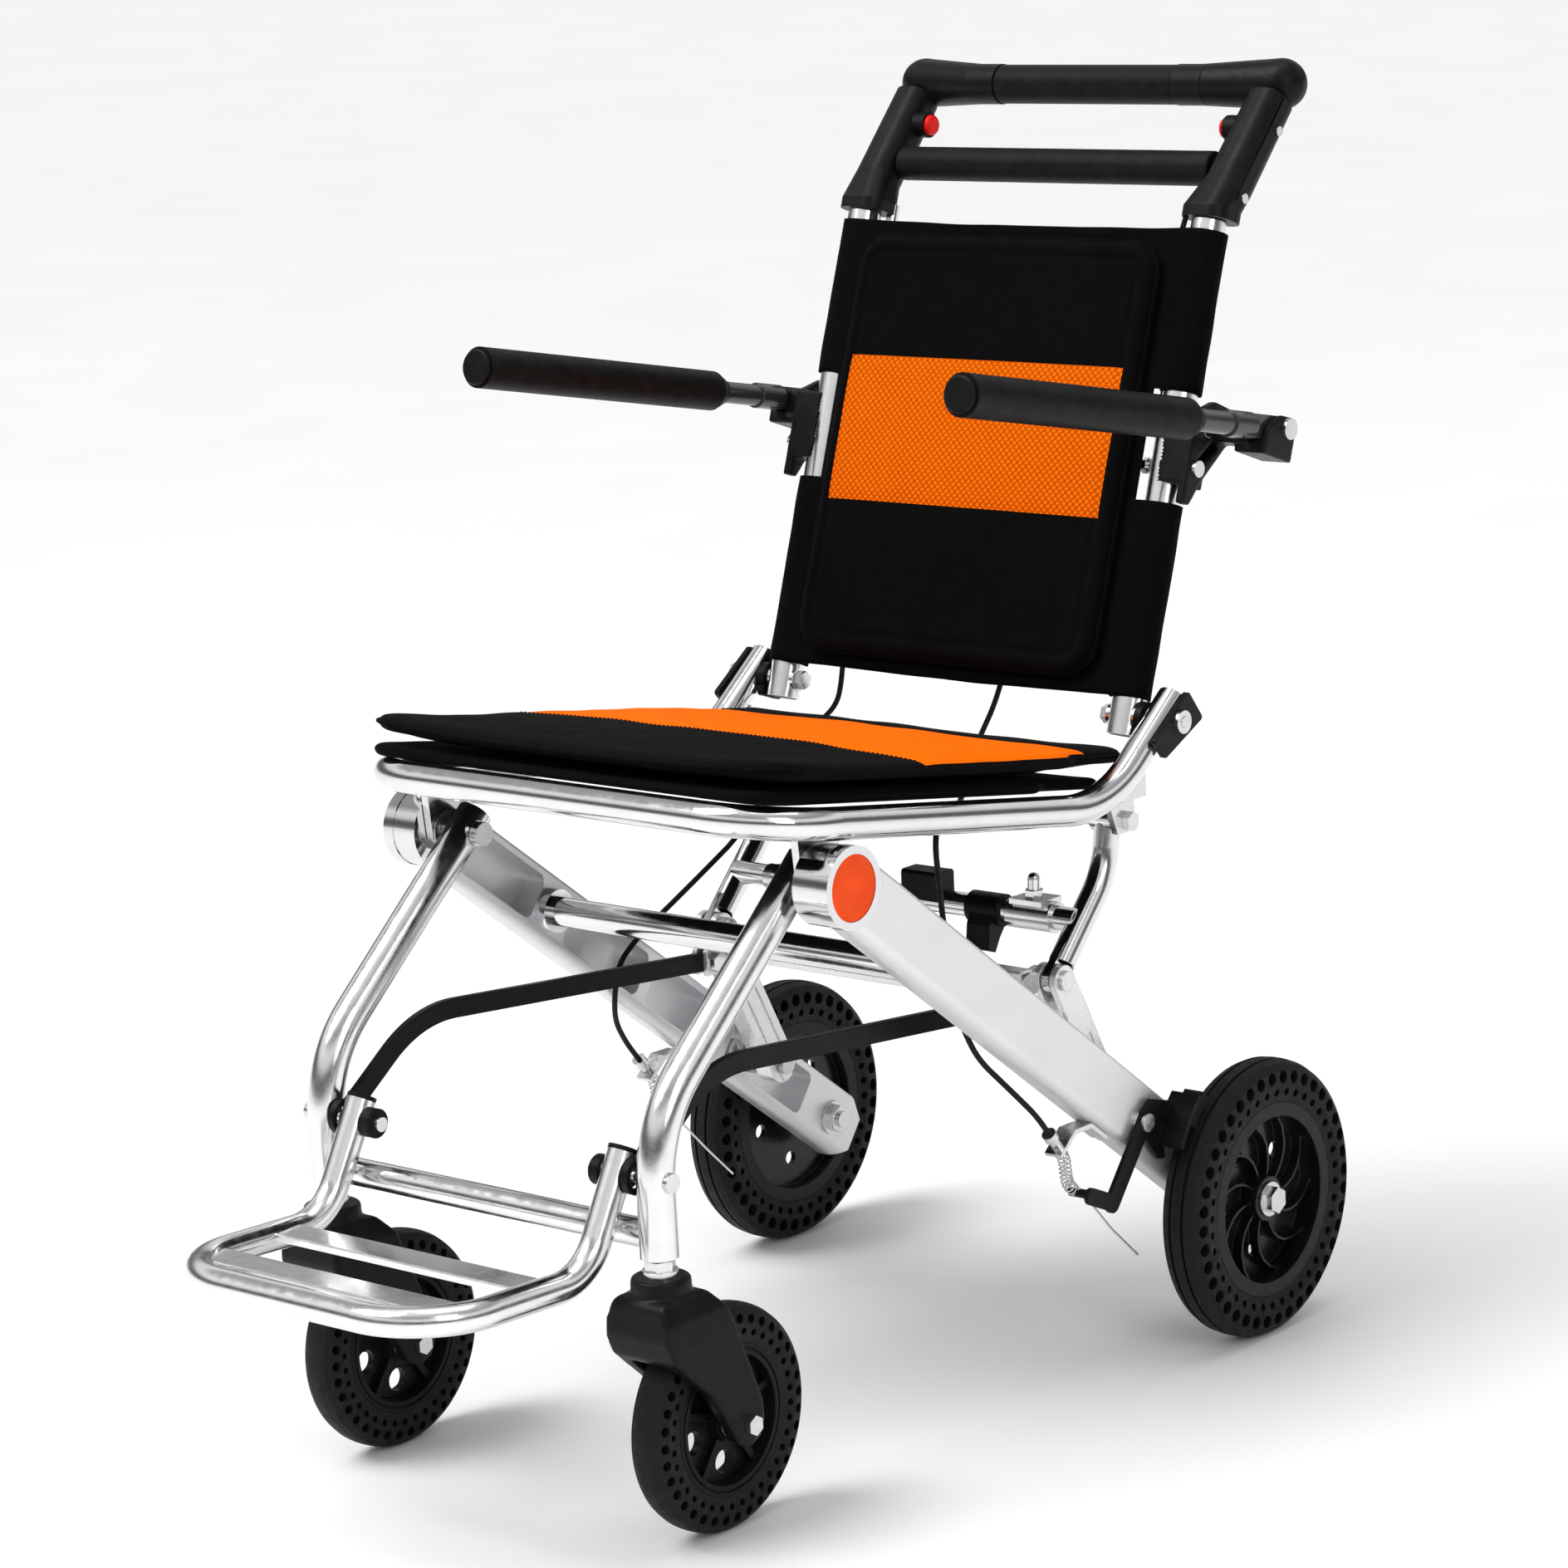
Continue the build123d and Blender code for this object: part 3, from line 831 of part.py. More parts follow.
# cable anchor under the beam: foot on the lower face and a lug for the ferrule
FER_X = 187.0
lug = (106.3, 179.4)                 # hole of the lug, on the cable's line
fu = (0.629, -0.7774)                # direction of the ferrule
fn = (0.7774, 0.629)                 # up along the lug, square to it
def fp(t, n):
    return (lug[0] + fu[0] * t + fn[0] * n, lug[1] + fu[1] * t + fn[1] * n)
abk = plate([bp(329, -24.05), bp(352, -24.05), bp(352, -27.0), bp(331.0, -27.0), fp(1.5, 14.0), fp(1.5, -7.0), fp(-1.5, -7.0), fp(-1.5, 15.5)], 180.0, 194.0)
fd = Vector(0, fu[0], fu[1])
fe0 = fp(-16.0, 0.0)
fpl = Plane(origin=(FER_X, fe0[0], fe0[1]), z_dir=fd)
frl = extrude(fpl * Circle(3.6), amount=22.0) + extrude(fpl * Circle(5.2), amount=5.9)
bore = extrude(fpl * Circle(3.62), amount=40.0)
frl -= extrude(fpl * Circle(2.02), amount=4.0)
frl -= extrude(fpl * Circle(0.85), amount=30.0)
add("brake_anchors", both(abk - bore))
add("brake_anchors", both(frl))
# bare wire from the ferrule to the lever's hook, through a return spring
w0 = fp(6.3, 0.0)
w1 = (120.2, 157.2)
wdir = Vector(0, w1[0] - w0[0], w1[1] - w0[1])
wl = wdir.length
hel = Helix(pitch=3.4, height=17.0, radius=4.2, center=(0, 0, 0), direction=(0, 0, 1))
hs = sweep(Plane(origin=hel @ 0, z_dir=hel % 0) * Circle(0.6), path=hel)
wp = Plane(origin=(FER_X, w0[0], w0[1]), z_dir=wdir.normalized(), x_dir=(1, 0, 0))
spring = wp * (Pos(0, 0, wl - 17.6) * hs)
wire = extrude(wp * Circle(0.8), amount=wl - 0.5)
add("brake_springs", both(spring))
add("brake_springs", both(wire))

# ------------------------------------------------------------------ brake cables
CABLE_R = 2.0


def cable(pts):
    """tube along straight runs joined by tangent arcs, as large as the runs allow"""
    rr = []
    v = [Vector(*p) for p in pts]
    for i in range(1, len(v) - 1):
        a, b = v[i] - v[i - 1], v[i + 1] - v[i]
        turn = radians(a.get_angle(b))
        rr.append(0.45 * min(a.length, b.length) / tan(turn / 2))
    path = FilletPolyline(*pts, radius=rr)
    t = tube(path, CABLE_R)
    print("cable radii", [round(r) for r in rr], "length", round(path.length), "volume ratio", round(t.volume / (pi * CABLE_R ** 2 * path.length), 4))
    return t


ce = fp(-12.2, 0.0)
cb1 = fp(-36.0, 0.0)
near = [(FER_X, ce[0], ce[1]), (FER_X, cb1[0], cb1[1]), (178.0, 63.0, 232.0), (168.6, 45.0, 254.0), (168.0, 27.0, 286.0), (167.8, 20.0, 325.0),
        (167.0, 15.0, 362.0), (165.0, 14.0, 398.0)]
far = [(-FER_X, ce[0], ce[1]), (-FER_X, cb1[0], cb1[1]), (-180.0, 66.0, 228.0), (-168.6, 54.0, 250.0), (-168.2, 60.0, 274.0), (-168.4, 84.0, 290.0),
       (-168.4, 112.0, 302.0), (-168.0, 150.0, 319.0), (-167.4, 184.0, 335.0)]
add("brake_cables", [cable(near), cable(far)])

# the side view above is laid out from the hub; this puts the origin under the middle of the chair's length
ORIGIN = Pos(0, -MID_Y, 0)

for name, s in NODES.items():
    if not s:
        continue
    sol = []
    for q in s:
        sol.extend((ORIGIN * q).solids())
    comp = Compound(children=sol) if len(sol) > 1 else sol[0]
    export_step(comp, "parts/" + name + ".step")
print(len([n for n in NODES if NODES[n]]), "nodes")
bb_ = Compound(children=[q for s_ in NODES.values() for c_ in s_ for q in (ORIGIN * c_).solids()]).bounding_box()
print("box", bb_.min, bb_.max)
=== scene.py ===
import bpy, bmesh, math
from mathutils import Vector, Matrix


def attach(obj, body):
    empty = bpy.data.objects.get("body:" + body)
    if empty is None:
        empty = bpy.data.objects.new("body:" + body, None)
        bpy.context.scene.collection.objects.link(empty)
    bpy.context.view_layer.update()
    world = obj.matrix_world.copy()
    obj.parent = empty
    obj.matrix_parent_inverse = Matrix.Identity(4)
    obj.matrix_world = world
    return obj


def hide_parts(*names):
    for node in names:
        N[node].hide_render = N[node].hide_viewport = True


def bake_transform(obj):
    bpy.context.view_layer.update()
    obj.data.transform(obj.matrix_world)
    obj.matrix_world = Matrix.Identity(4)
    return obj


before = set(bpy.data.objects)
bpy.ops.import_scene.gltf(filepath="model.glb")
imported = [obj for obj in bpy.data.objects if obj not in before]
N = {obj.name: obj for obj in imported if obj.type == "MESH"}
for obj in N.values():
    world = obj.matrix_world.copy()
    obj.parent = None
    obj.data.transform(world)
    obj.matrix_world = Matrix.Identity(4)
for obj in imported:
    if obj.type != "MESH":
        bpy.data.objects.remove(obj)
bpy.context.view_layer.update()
MM = 0.001

# ------------------------------------------------------------------ places shared with the CAD model (mm, side view y, z)
MID_Y = 8.75
BACK_PIV = (245.0, 452.0)
BACK_TILT = math.radians(19.2)
SEAT_SLOPE = -0.1637
RAIL_R = 11.0


def zr(y):
    return 459.2 + SEAT_SLOPE * (y + 174.0)


def back(x, y, z):
    """backrest frame (mm) to row frame (m)"""
    c, s = math.cos(BACK_TILT), math.sin(BACK_TILT)
    return Vector((x, BACK_PIV[0] - MID_Y + y * c + z * s, BACK_PIV[1] - y * s + z * c)) * MM


_k = math.sqrt(1 + SEAT_SLOPE ** 2)
SN = (-SEAT_SLOPE / _k, 1 / _k)


def seat(x, v, w):
    """seat frame: x across, v rearward along the rails, w up from the rail tops (mm) to row frame (m)"""
    y0, z0 = 20.0, zr(20.0) + RAIL_R
    return Vector((x, y0 - MID_Y + v * SN[1] + w * SN[0], z0 - v * SN[0] + w * SN[1])) * MM


# ------------------------------------------------------------------ materials
class Mat:
    def __init__(self, name, color, rough, metal=0.0, **kw):
        self.m = bpy.data.materials.new(name)
        self.m.use_nodes = True
        self.t = self.m.node_tree
        self.t.nodes.clear()
        self.out = self.t.nodes.new("ShaderNodeOutputMaterial")
        self.b = self.t.nodes.new("ShaderNodeBsdfPrincipled")
        self.t.links.new(self.b.outputs[0], self.out.inputs[0])
        self.b.inputs["Base Color"].default_value = (*color, 1)
        self.b.inputs["Roughness"].default_value = rough
        self.b.inputs["Metallic"].default_value = metal
        for k, v in kw.items():
            self.b.inputs[k.replace("_", " ")].default_value = v
        self.color = color
        self.co = self.t.nodes.new("ShaderNodeTexCoord").outputs["Object"]
        self.h = None

    def node(self, kind, **kw):
        n = self.t.nodes.new(kind)
        for k, v in kw.items():
            setattr(n, k, v)
        return n

    def link(self, a, b):
        self.t.links.new(a, b)

    def math(self, op, a, b=None, c=None, clamp=False):
        n = self.node("ShaderNodeMath", operation=op, use_clamp=clamp)
        for i, v in enumerate((a, b, c)):
            if v is None:
                continue
            if isinstance(v, (int, float)):
                n.inputs[i].default_value = v
            else:
                self.link(v, n.inputs[i])
        return n.outputs[0]

    def mapped(self, rot=(0, 0, 0), scale=(1, 1, 1), loc=(0, 0, 0)):
        n = self.node("ShaderNodeMapping")
        n.inputs["Location"].default_value = loc
        n.inputs["Rotation"].default_value = rot
        n.inputs["Scale"].default_value = scale
        self.link(self.co, n.inputs["Vector"])
        return n.outputs[0]

    def noise(self, scale, detail=3, rough=0.55, vec=None, dist=0.0):
        n = self.node("ShaderNodeTexNoise")
        n.inputs["Scale"].default_value = scale
        n.inputs["Detail"].default_value = detail
        n.inputs["Roughness"].default_value = rough
        n.inputs["Distortion"].default_value = dist
        self.link(vec or self.co, n.inputs["Vector"])
        return n.outputs["Fac"]

    def ramp(self, fac, stops):
        n = self.node("ShaderNodeValToRGB")
        e = n.color_ramp.elements
        while len(e) < len(stops):
            e.new(0.5)
        for i, (p, c) in enumerate(stops):
            e[i].position = p
            e[i].color = (*c, 1) if len(c) == 3 else c
        self.link(fac, n.inputs[0])
        return n.outputs[0]

    def rough(self, fac, lo, hi):
        n = self.node("ShaderNodeMapRange")
        n.inputs["To Min"].default_value = lo
        n.inputs["To Max"].default_value = hi
        n.inputs["From Min"].default_value = 0.3
        n.inputs["From Max"].default_value = 0.7
        self.link(fac, n.inputs["Value"])
        self.link(n.outputs[0], self.b.inputs["Roughness"])

    def soften(self, radius):
        """edges catch light as if slightly rounded"""
        n = self.node("ShaderNodeBevel")
        n.samples = 4
        n.inputs["Radius"].default_value = radius
        self.link(n.outputs[0], self.b.inputs["Normal"])
        self.h = n.outputs[0]

    def bump(self, h, strength=0.3, dist=0.0005):
        n = self.node("ShaderNodeBump")
        n.inputs["Strength"].default_value = strength
        n.inputs["Distance"].default_value = dist
        self.link(h, n.inputs["Height"])
        if self.h is not None:
            self.link(self.h, n.inputs["Normal"])
        self.link(n.outputs[0], self.b.inputs["Normal"])
        self.h = n.outputs[0]

    def color_from(self, sock):
        self.link(sock, self.b.inputs["Base Color"])

    def sep(self, vec=None):
        n = self.node("ShaderNodeSeparateXYZ")
        self.link(vec or self.co, n.inputs[0])
        return n.outputs


def mix3(a, b, f):
    return tuple(x + (y - x) * f for x, y in zip(a, b))


def tube_metal(name, color=(0.78, 0.78, 0.79), r=(0.09, 0.17)):
    m = Mat(name, color, 0.2, 1.0)
    n = m.noise(45, 4)
    m.color_from(m.ramp(n, [(0.3, mix3(color, (0.6, 0.6, 0.62), 0.25)), (0.7, color)]))
    m.rough(m.noise(160, 3), *r)
    m.bump(m.noise(900, 2, vec=m.mapped(scale=(0.15, 1, 1))), 0.05, 0.0003)
    return m.m


def satin_alloy(name, color=(0.80, 0.80, 0.815), r=(0.34, 0.46)):
    m = Mat(name, color, 0.4, 0.72)
    m.soften(0.0012)
    n = m.noise(22, 5)
    m.color_from(m.ramp(n, [(0.28, mix3(color, (0.62, 0.62, 0.65), 0.22)), (0.72, color)]))
    m.rough(m.noise(420, 4), *r)
    m.bump(m.noise(2600, 3), 0.10, 0.0003)
    return m.m


def steel(name, color=(0.62, 0.62, 0.62), r=(0.22, 0.36)):
    m = Mat(name, color, 0.3, 1.0)
    m.soften(0.0006)
    n = m.noise(300, 4)
    m.color_from(m.ramp(n, [(0.3, mix3(color, (0.45, 0.42, 0.36), 0.35)), (0.7, color)]))
    m.rough(n, *r)
    m.bump(m.noise(1500, 2), 0.12, 0.0002)
    return m.m


def plastic(name, color, r=(0.34, 0.48), grain=2400, bump=0.14, spec=0.12, soft=0.0012):
    m = Mat(name, color, 0.45, 0.0, Specular_IOR_Level=spec)
    m.soften(soft)
    n = m.noise(60, 4)
    m.color_from(m.ramp(n, [(0.3, mix3(color, (0, 0, 0), 0.18)), (0.7, mix3(color, (0.3, 0.3, 0.3), 0.010))]))
    m.rough(m.noise(200, 3), *r)
    v = m.node("ShaderNodeTexVoronoi")
    v.inputs["Scale"].default_value = grain / 3
    m.link(m.co, v.inputs["Vector"])
    m.bump(v.outputs["Distance"], bump, 0.00025)
    return m.m


def foam(name, color=(0.006, 0.006, 0.0065)):
    m = Mat(name, color, 0.7, 0.0, Specular_IOR_Level=0.10)
    n = m.noise(90, 4)
    m.color_from(m.ramp(n, [(0.3, mix3(color, (0, 0, 0), 0.3)), (0.7, mix3(color, (0.2, 0.2, 0.2), 0.02))]))
    m.rough(m.noise(500, 4), 0.40, 0.56)
    v = m.node("ShaderNodeTexVoronoi")
    v.inputs["Scale"].default_value = 1400
    m.link(m.co, v.inputs["Vector"])
    m.bump(v.outputs["Distance"], 0.25, 0.0003)
    return m.m


def rubber(name, color=(0.006, 0.006, 0.007)):
    m = Mat(name, color, 0.6, 0.0, Specular_IOR_Level=0.22)
    n = m.noise(35, 5)
    m.color_from(m.ramp(n, [(0.3, mix3(color, (0, 0, 0), 0.25)), (0.62, color), (0.8, mix3(color, (0.16, 0.15, 0.14), 0.07))]))
    m.rough(m.noise(180, 4), 0.5, 0.74)
    m.bump(m.noise(1100, 4), 0.18, 0.0004)
    return m.m


def weave_height(m, u, v, pitch):
    """basket weave height from two length sockets in metres"""
    k = math.pi / pitch
    su = m.math("ABSOLUTE", m.math("SINE", m.math("MULTIPLY", u, k)))
    sv = m.math("ABSOLUTE", m.math("SINE", m.math("MULTIPLY", v, k)))
    return m.math("MULTIPLY", su, sv)


def fabric(name, color, plane="seat", pitch=0.0011, sheen=0.25, diagonal=False, dark=0.5, strength=0.5, r=(0.72, 0.9), mottle=0.25):
    m = Mat(name, color, 0.85, 0.0, Sheen_Weight=sheen, Sheen_Roughness=0.45, Specular_IOR_Level=0.03)
    rot = (BACK_TILT, 0, 0) if plane == "back" else (math.atan(-SEAT_SLOPE), 0, 0)
    vec = m.mapped(rot=rot)
    xyz = m.sep(vec)
    u = xyz[0]
    v = xyz[2] if plane == "back" else xyz[1]
    if diagonal:
        uu, vv = m.math("ADD", u, v), m.math("SUBTRACT", u, v)
    else:
        uu, vv = u, v
    h = weave_height(m, uu, vv, pitch)
    n = m.noise(28, 4)
    base = m.ramp(n, [(0.3, mix3(color, (0, 0, 0), mottle)), (0.7, color)])
    mixn = m.node("ShaderNodeMix", data_type="RGBA", blend_type="MULTIPLY")
    mixn.inputs[0].default_value = 1.0
    m.link(base, mixn.inputs[6])
    m.link(m.ramp(h, [(0.0, (dark, dark, dark)), (0.55, (1, 1, 1))]), mixn.inputs[7])
    m.color_from(mixn.outputs[2])
    m.rough(m.noise(120, 3), *r)
    m.bump(m.noise(60, 4), 0.12, 0.002)
    m.bump(h, strength, pitch * 0.35)
    return m.m


M = {}
M["tube"] = tube_metal("polished_tube")
M["tube_soft"] = tube_metal("satin_tube", (0.82, 0.82, 0.825), (0.14, 0.24))
M["alloy"] = satin_alloy("satin_alloy")
M["polish"] = tube_metal("polished_hub", (0.72, 0.72, 0.73), (0.06, 0.13))
M["extrusion"] = satin_alloy("anodised_extrusion", (0.84, 0.84, 0.85), (0.26, 0.38))
M["zinc"] = steel("zinc_steel")
M["bright"] = steel("bright_steel", (0.75, 0.75, 0.75), (0.14, 0.26))
M["black_metal"] = plastic("black_powder_coat", (0.005, 0.005, 0.0055), (0.28, 0.42), 3000, 0.10)
M["black"] = plastic("black_nylon", (0.0045, 0.0045, 0.005), (0.32, 0.46))
M["black_gloss"] = plastic("black_moulding", (0.004, 0.004, 0.0045), (0.16, 0.28), 2000, 0.04, 0.3)
M["rim_grey"] = plastic("rim_grey", (0.020, 0.020, 0.024), (0.36, 0.5))
M["grey"] = plastic("grey_nylon", (0.030, 0.031, 0.035), (0.16, 0.26), spec=0.6)
M["orange_disc"] = plastic("orange_disc", (1.0, 0.088, 0.012), (0.34, 0.46), 1800, 0.03, 0.05, 0.0004)
M["red"] = plastic("red_button", (0.85, 0.012, 0.008), (0.22, 0.34), 1800, 0.04)
M["foam"] = foam("black_foam")
M["tyre"] = rubber("tyre_rubber")
M["rubber"] = rubber("black_rubber", (0.005, 0.005, 0.006))
M["fab_back"] = fabric("black_fabric_back", (0.0036, 0.0036, 0.0038), "back", 0.0012, 0.008)
M["fab_seat"] = fabric("black_fabric_seat", (0.0046, 0.0046, 0.005), "seat", 0.0012, 0.012)
M["fab_sling"] = fabric("black_webbing", (0.0038, 0.0038, 0.004), "seat", 0.0016, 0.01)
M["mesh_back"] = fabric("orange_mesh_back", (1.0, 0.165, 0.0015), "back", 0.0054, 0.0, True, 0.42, 0.6, mottle=0.04)
M["mesh_seat"] = fabric("orange_fabric_seat", (1.0, 0.158, 0.0008), "seat", 0.0013, 0.0, False, 0.96, 0.2, mottle=0.03)
M["thread"] = fabric("black_thread", (0.012, 0.012, 0.013), "back", 0.0008, 0.05)


def give(node, mat):
    o = N[node]
    if not o.material_slots:
        o.data.materials.append(mat)
    for s in o.material_slots:
        s.material = mat


table = {
    "upper_crossbar": "tube", "hub_discs": "orange_disc", "frame_bolts": "zinc", "rear_axles": "bright", "rear_bearings": "zinc",
    "brake_anchors": "bright", "brake_springs": "bright", "brake_cables": "rubber",
    "seat_frame": "tube", "seat_brackets": "black_metal", "seat_frame_bolts": "bright",
    "rear_support_frame": "tube", "fold_latch": "black", "fold_lever": "black",
    "struts": "extrusion", "rear_bar": "extrusion", "strut_pins": "bright", "fold_links": "black_metal",
    "front_leg_frame": "tube_soft", "caster_bushes": "black", "footrest_bolts": "bright",
    "footrest_frame": "tube_soft", "footrest_knobs": "black",
    "back_posts": "tube_soft", "arm_brackets": "black", "arm_bracket_bolts": "bright", "rod_guides": "black",
    "handle_sleeves": "black", "grip_bar": "foam", "handle_rods": "tube", "brake_bar": "black", "brake_bar_foam": "foam",
    "handle_button_left": "red", "handle_button_right": "red",
}
for sd in ("left", "right"):
    table.update({
        "beam_" + sd: "alloy", "caster_fork_" + sd: "black", "caster_bolts_" + sd: "bright", "caster_tyre_" + sd: "tyre",
        "caster_rim_" + sd: "black", "rear_tyre_" + sd: "tyre", "rear_rim_" + sd: "black_gloss",
        "brake_lever_" + sd: "black_metal", "brake_shoe_" + sd: "rubber", "armrest_tube_" + sd: "grey", "armrest_grip_" + sd: "foam",
    })
for k, v in table.items():
    if k in N:
        give(k, M[v])


def cast_edges(node, voxel, rounds):
    """a moulded part's corners are rounded off, as its tool leaves them"""
    o = N[node]
    md = o.modifiers.new("skin", "REMESH")
    md.mode = "VOXEL"
    md.voxel_size = voxel
    md.use_smooth_shade = True
    sm = o.modifiers.new("round", "SMOOTH")
    sm.factor = 0.5
    sm.iterations = rounds


cast_edges("arm_brackets", 0.0008, 26)
for sd in ("left", "right"):
    cast_edges("caster_fork_" + sd, 0.0012, 14)


def faces_by(node, mat, test):
    """a second finish on the faces of a CAD node whose centre passes the test"""
    o = N[node]
    o.data.materials.append(mat)
    i = len(o.data.materials) - 1
    for p in o.data.polygons:
        if test(p.center / MM, p.normal):
            p.material_index = i


HUBP = (-111.0 - MID_Y, 408.0)
AX = (295.0 - MID_Y, 100.0)
for sd in ("left", "right"):
    # polished hub barrel and ring
    faces_by("beam_" + sd, M["polish"], lambda c, n: math.hypot(c[1] - HUBP[0], c[2] - HUBP[1]) < 28.4)
    # grey ring of the rear rim
    faces_by("rear_rim_" + sd, M["rim_grey"], lambda c, n: math.hypot(c[1] - AX[0], c[2] - AX[1]) > 59.8)
    # bare wire tail of the brake lever
    faces_by("brake_lever_" + sd, M["bright"], lambda c, n: abs(c[0]) < 189.5 and c[2] < 143.0 and math.hypot(c[1] + MID_Y - 124, c[2] - 143) > 3.5)
for sd in ("left", "right"):
    faces_by("armrest_tube_" + sd, M["black"], lambda c, n: c[1] < 60.0)
faces_by("handle_rods", M["bright"], lambda c, n: abs(c[0]) > 160.0)
# plated parts of the latch
faces_by("fold_latch", M["bright"], lambda c, n: c[0] > 100)
# hub and support brackets are plated, the hinge plates and blocks black
HINGE = (BACK_PIV[0] - MID_Y, BACK_PIV[1])
faces_by("seat_brackets", M["bright"], lambda c, n: not ((abs(c[0]) > 195.5 and c[1] > 200.0) or (math.hypot(c[1] - HINGE[0], c[2] - HINGE[1]) < 22.0 and abs(c[0]) < 175.0)))

# ------------------------------------------------------------------ mesh helpers
def new_obj(name, verts, faces, mat, smooth=True, mats=None):
    me = bpy.data.meshes.new(name)
    me.from_pydata([tuple(v) for v in verts], [], faces)
    me.update()
    o = bpy.data.objects.new(name, me)
    bpy.context.scene.collection.objects.link(o)
    for mm_ in (mats or [mat]):
        me.materials.append(mm_)
    if smooth:
        for p in me.polygons:
            p.use_smooth = True
    return o


def sub(o, levels=1):
    md = o.modifiers.new("subd", "SUBSURF")
    md.levels = levels
    md.render_levels = levels
    return o


def outline(w0, w1, va, vb, v0, v1, rf, rb):
    """half width of a pad at v: w0 at the front, w1 behind, with rounded corners"""
    def hw(v):
        t = max(0.0, min(1.0, (v - va) / (vb - va)))
        w = w0 + (w1 - w0) * t * t * (3 - 2 * t)
        if v < v0 + rf:
            q = v0 + rf - v
            w -= rf - math.sqrt(max(0.0, rf * rf - q * q))
        if v > v1 - rb:
            q = v - (v1 - rb)
            w -= rb - math.sqrt(max(0.0, rb * rb - q * q))
        return w
    return hw


def spaced(v0, v1, rf, rb, n):
    """rows from v0 to v1, closer together round the corners"""
    a = [v0 + rf * (1 - math.cos(math.pi / 2 * i / 10)) for i in range(10)]
    b = [v0 + rf + (v1 - rb - v0 - rf) * i / n for i in range(n + 1)]
    c = [v1 - rb + rb * math.sin(math.pi / 2 * i / 10) for i in range(1, 11)]
    return a + b + c


def depth(x, v, hw, v0, v1, rf, rb):
    """distance in from the outline"""
    w = hw(min(max(v, v0 + rf), v1 - rb))
    d = min(w - abs(x), v - v0, v1 - v)
    for r, vc in ((rf, v0 + rf), (rb, v1 - rb)):
        out = (vc - v) if vc == v0 + rf else (v - vc)
        if out > 0 and abs(x) > w - r:
            d = min(d, r - math.hypot(abs(x) - (w - r), out))
    return max(0.0, d)


def dome(d, width):
    t = max(0.0, min(1.0, d / width))
    return math.sqrt(max(0.0, 1 - (1 - t) ** 2))


def pillow(name, hw, rows, top, bottom, place, mat_of, mats, nx=64):
    """crowned closed pad; top(x, v) and bottom(x, v) give heights, place maps to the row frame"""
    ny = len(rows) - 1
    # columns are closer together at the sides
    cols = [math.sin(math.pi / 2 * (2 * i / nx - 1)) * 0.35 + (2 * i / nx - 1) * 0.65 for i in range(nx + 1)]
    verts, faces, idx, mi = [], [], {}, []
    for side in (0, 1):
        for i in range(nx + 1):
            for j in range(ny + 1):
                if side == 1 and (i in (0, nx) or j in (0, ny)):
                    idx[(1, i, j)] = idx[(0, i, j)]
                    continue
                v = rows[j]
                x = cols[i] * hw(v)
                if i in (0, nx) or j in (0, ny):
                    w = (top(x, v) + bottom(x, v)) / 2
                else:
                    w = top(x, v) if side == 0 else bottom(x, v)
                idx[(side, i, j)] = len(verts)
                verts.append(place(x, v, w))
    for side in (0, 1):
        for i in range(nx):
            for j in range(ny):
                q = [idx[(side, i, j)], idx[(side, i + 1, j)], idx[(side, i + 1, j + 1)], idx[(side, i, j + 1)]]
                faces.append(q if side == 0 else q[::-1])
                v = (rows[j] + rows[j + 1]) / 2
                mi.append(mat_of((cols[i] + cols[i + 1]) / 2 * hw(v), v, side))
    o = new_obj(name, verts, faces, None, True, mats)
    for p, m_ in zip(o.data.polygons, mi):
        p.material_index = m_
    return o


def rim_line(hw, rows, height, place, n_side=1):
    """closed line round a pad's edge"""
    pts = []
    for v in rows:
        pts.append(place(hw(v), v, height(hw(v), v)))
    w1 = hw(rows[-1])
    for i in range(1, 24):
        x = w1 * (1 - 2 * i / 24)
        pts.append(place(x, rows[-1], height(x, rows[-1])))
    for v in rows[::-1]:
        pts.append(place(-hw(v), v, height(-hw(v), v)))
    w0 = hw(rows[0])
    for i in range(1, 24):
        x = -w0 * (1 - 2 * i / 24)
        pts.append(place(x, rows[0], height(x, rows[0])))
    return pts


def curve_tube(name, pts, r, mat, cyclic=False, kind="POLY", res=6):
    cu = bpy.data.curves.new(name, "CURVE")
    cu.dimensions = "3D"
    cu.bevel_depth = r
    cu.bevel_resolution = 3
    sp = cu.splines.new(kind)
    sp.points.add(len(pts) - 1)
    for p_, q in zip(sp.points, pts):
        p_.co = (*q, 1)
    sp.use_cyclic_u = cyclic
    if kind == "NURBS":
        sp.order_u = 3
        sp.use_endpoint_u = not cyclic
    cu.resolution_u = res
    cu.use_fill_caps = True
    o = bpy.data.objects.new(name, cu)
    bpy.context.scene.collection.objects.link(o)
    cu.materials.append(mat)
    return o


def wob(x, y, seed=0.0):
    """gentle repeatable unevenness, -1..1"""
    return (math.sin(x * 0.031 + y * 0.017 + seed) + 0.6 * math.sin(x * 0.073 - y * 0.052 + 2.1 * seed) + 0.4 * math.sin(x * 0.11 + y * 0.137 + 3.7 + seed)) / 2.0


# ------------------------------------------------------------------ seat cushion and sling
CV0, CV1, CRF, CRB = -191.5, 202.0, 30.0, 13.0
c_hw = outline(185.5, 171.5, 112.0, 140.0, CV0, CV1, CRF, CRB)
c_rows = spaced(CV0, CV1, CRF, CRB, 78)


